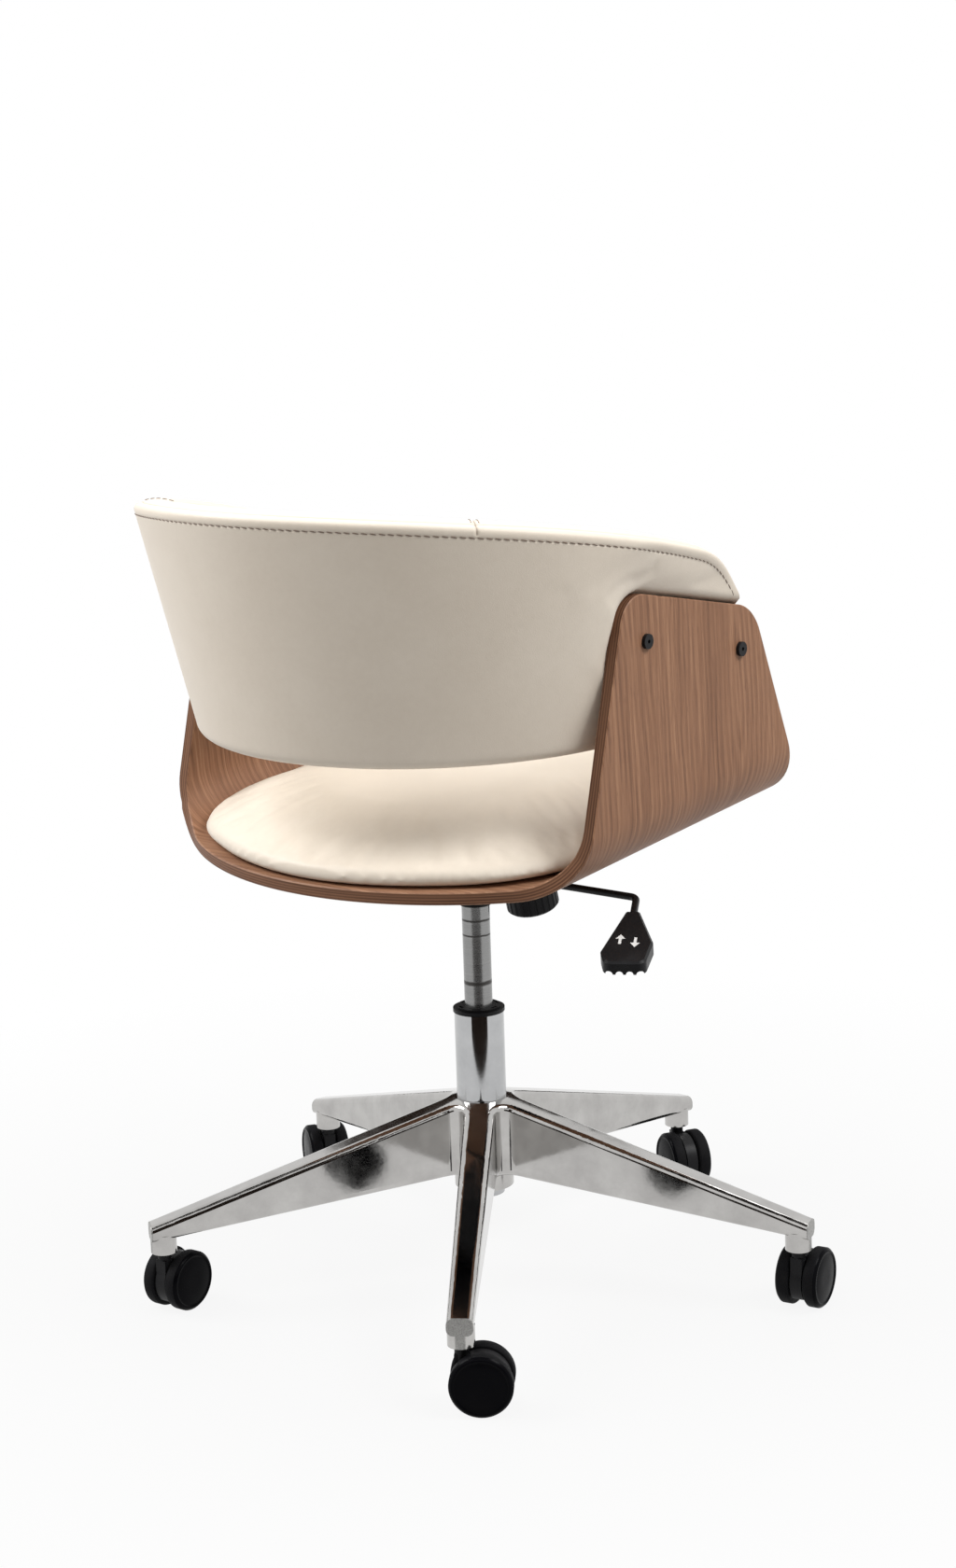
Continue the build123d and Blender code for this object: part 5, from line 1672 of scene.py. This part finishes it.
def hang(at: Row, aim: Row) -> Matrix:
    """Stand of a card or lamp.

    Args:
        at: Where it hangs.
        aim: What it faces.

    Returns:
        The stand, facing along its own -z.
    """
    way = Vector(aim) - Vector(at)
    return Matrix.Translation(at) @ way.to_track_quat("-Z", "Y").to_matrix().to_4x4()


@dataclass
class Studio:
    """Pale floor, white surround, soft lamps and the camera."""

    eye: Row = (-1.7257, 2.1825, 1.1332)
    azimuth: float = 218.2
    elevation: float = 12.58
    roll: float = -1.87
    lens: float = 66.26
    floor_radius: float = 14.0
    glow_from: tuple[float, float] = (0.35, 0.90)
    glow_to: tuple[float, float] = (1.1, 1.0)
    room: Colour = (1.0, 0.94, 0.87)
    room_strength: float = 0.28

    def camera(self) -> None:
        """Sets up the camera."""
        a, e, roll = (math.radians(v) for v in (self.azimuth, self.elevation, self.roll))
        back = Vector((math.sin(a) * math.cos(e), -math.cos(a) * math.cos(e), math.sin(e)))
        right = (-back).cross(Vector((0.0, 0.0, 1.0))).normalized()
        up = right.cross(-back)
        across = right * math.cos(roll) + up * math.sin(roll)
        upward = up * math.cos(roll) - right * math.sin(roll)
        data = bpy.data.cameras.new("studio_camera")
        data.lens = self.lens
        data.sensor_width = 36.0
        data.sensor_fit = "AUTO"
        data.clip_end = 60.0
        view = bpy.data.objects.new("studio_camera", data)
        view.matrix_world = Matrix.Translation(self.eye) @ Matrix((across, upward, back)).transposed().to_4x4()
        bpy.context.scene.collection.objects.link(view)
        bpy.context.scene.camera = view

    def floor(self) -> None:
        """Lays the pale floor."""
        bm = bmesh.new()
        bmesh.ops.create_circle(bm, cap_ends=True, segments=96, radius=self.floor_radius)
        ground = settle(bm, "floor")
        g = Graph("pale_floor")
        fleck = g.noise(g.place(), 3.0, 3.0, 0.5)
        g.colour(g.ramp(fleck, ((0.2, (0.40, 0.40, 0.40)), (0.8, (0.43, 0.43, 0.43)))))
        g.fixed(Roughness=0.6, Specular_IOR_Level=0.2)
        away = g.node("ShaderNodeVectorMath", operation="LENGTH")
        g.join(g.place(), away.inputs[0])
        path = g.node("ShaderNodeLightPath")
        seen = path.outputs[SEEING_RAYS[0]]
        for ray in SEEING_RAYS[1:]:
            seen = g.maths("MAXIMUM", seen, path.outputs[ray])
        (near, dim), (far, full) = self.glow_from, self.glow_to
        share = g.maths("MULTIPLY", seen, g.span(away.outputs["Value"], near, far, dim, full))
        glow = g.node("ShaderNodeEmission")
        choose = g.node("ShaderNodeMixShader")
        g.join(share, choose.inputs[0])
        g.join(g.surface.outputs[0], choose.inputs[1])
        g.join(glow.outputs[0], choose.inputs[2])
        g.join(choose.outputs[0], g.tree.nodes["Material Output"].inputs["Surface"])
        ground.data.materials.append(g.material)

    def card(self, name: str, at: Row, aim: Row, wide: float, tall: float) -> None:
        """Hangs a dark card that only polished metal sees.

        Args:
            name: Its name.
            at: Where it hangs.
            aim: What it faces.
            wide: Its width.
            tall: Its height.
        """
        bm = bmesh.new()
        bmesh.ops.create_grid(bm, x_segments=1, y_segments=1, size=0.5)
        size = Matrix.Diagonal((wide, tall, 1.0, 1.0))
        bmesh.ops.transform(bm, matrix=hang(at, aim) @ size, verts=bm.verts)
        card = settle(bm, name)
        g = Graph("dark_card")
        cloud = g.noise(g.place(), 2.0, 2.0, 0.5)
        g.colour(g.ramp(cloud, ((0.3, (0.020, 0.014, 0.011)), (0.7, (0.045, 0.033, 0.027)))))
        g.fixed(Roughness=1.0, Specular_IOR_Level=0.0)
        card.data.materials.append(g.material)
        card.visible_camera = False
        card.visible_diffuse = False
        card.visible_shadow = False

    def lamp(self, name: str, at: Row, aim: Row, size: float, watts: float) -> None:
        """Hangs one soft lamp.

        Args:
            name: Its name.
            at: Where it hangs.
            aim: What it points at.
            size: Its side.
            watts: Its strength.
        """
        data = bpy.data.lights.new(name, "AREA")
        data.shape = "SQUARE"
        data.size = size
        data.energy = watts
        lamp = bpy.data.objects.new(name, data)
        lamp.matrix_world = hang(at, aim)
        bpy.context.scene.collection.objects.link(lamp)

    def surround(self) -> None:
        """Lights the room softly and keeps the background white."""
        world = bpy.data.worlds.new("studio")
        bpy.context.scene.world = world
        world.use_nodes = True
        nodes, links = world.node_tree.nodes, world.node_tree.links
        soft = nodes["Background"]
        soft.inputs["Color"].default_value = (*self.room, 1.0)
        soft.inputs["Strength"].default_value = self.room_strength
        white = nodes.new("ShaderNodeBackground")
        white.inputs["Color"].default_value = (1.0, 1.0, 1.0, 1.0)
        white.inputs["Strength"].default_value = 1.0
        path = nodes.new("ShaderNodeLightPath")
        seen = path.outputs[SEEING_RAYS[0]]
        for ray in SEEING_RAYS[1:]:
            either = nodes.new("ShaderNodeMath")
            either.operation = "MAXIMUM"
            links.new(seen, either.inputs[0])
            links.new(path.outputs[ray], either.inputs[1])
            seen = either.outputs[0]
        choose = nodes.new("ShaderNodeMixShader")
        links.new(seen, choose.inputs[0])
        links.new(soft.outputs[0], choose.inputs[1])
        links.new(white.outputs[0], choose.inputs[2])
        links.new(choose.outputs[0], nodes["World Output"].inputs["Surface"])

    def build(self) -> None:
        """Sets up the whole studio."""
        self.camera()
        self.floor()
        self.surround()
        for name, card in CARDS.items():
            self.card(name, *card)
        for name, lamp in LAMPS.items():
            self.lamp(name, *lamp)
        bpy.context.scene.view_settings.view_transform = "Standard"


def main() -> None:
    """Builds and dresses the chair."""
    logging.basicConfig(level=logging.INFO, format="%(message)s")
    Studio().build()
    shell = BentShell()
    pieces = [shell.build(), SeatPad().build(), *Backrest().build(shell), *CasterWheels().build()]
    pieces += [PaddleArrows().build(), TensionSpring().build()]
    for piece in pieces:
        log.info("%s: %d faces", piece.name, len(piece.data.polygons))
    log.info("dressed %d rigid pieces", Hardware(HARDWARE).build())


if __name__ == "__main__":
    main()
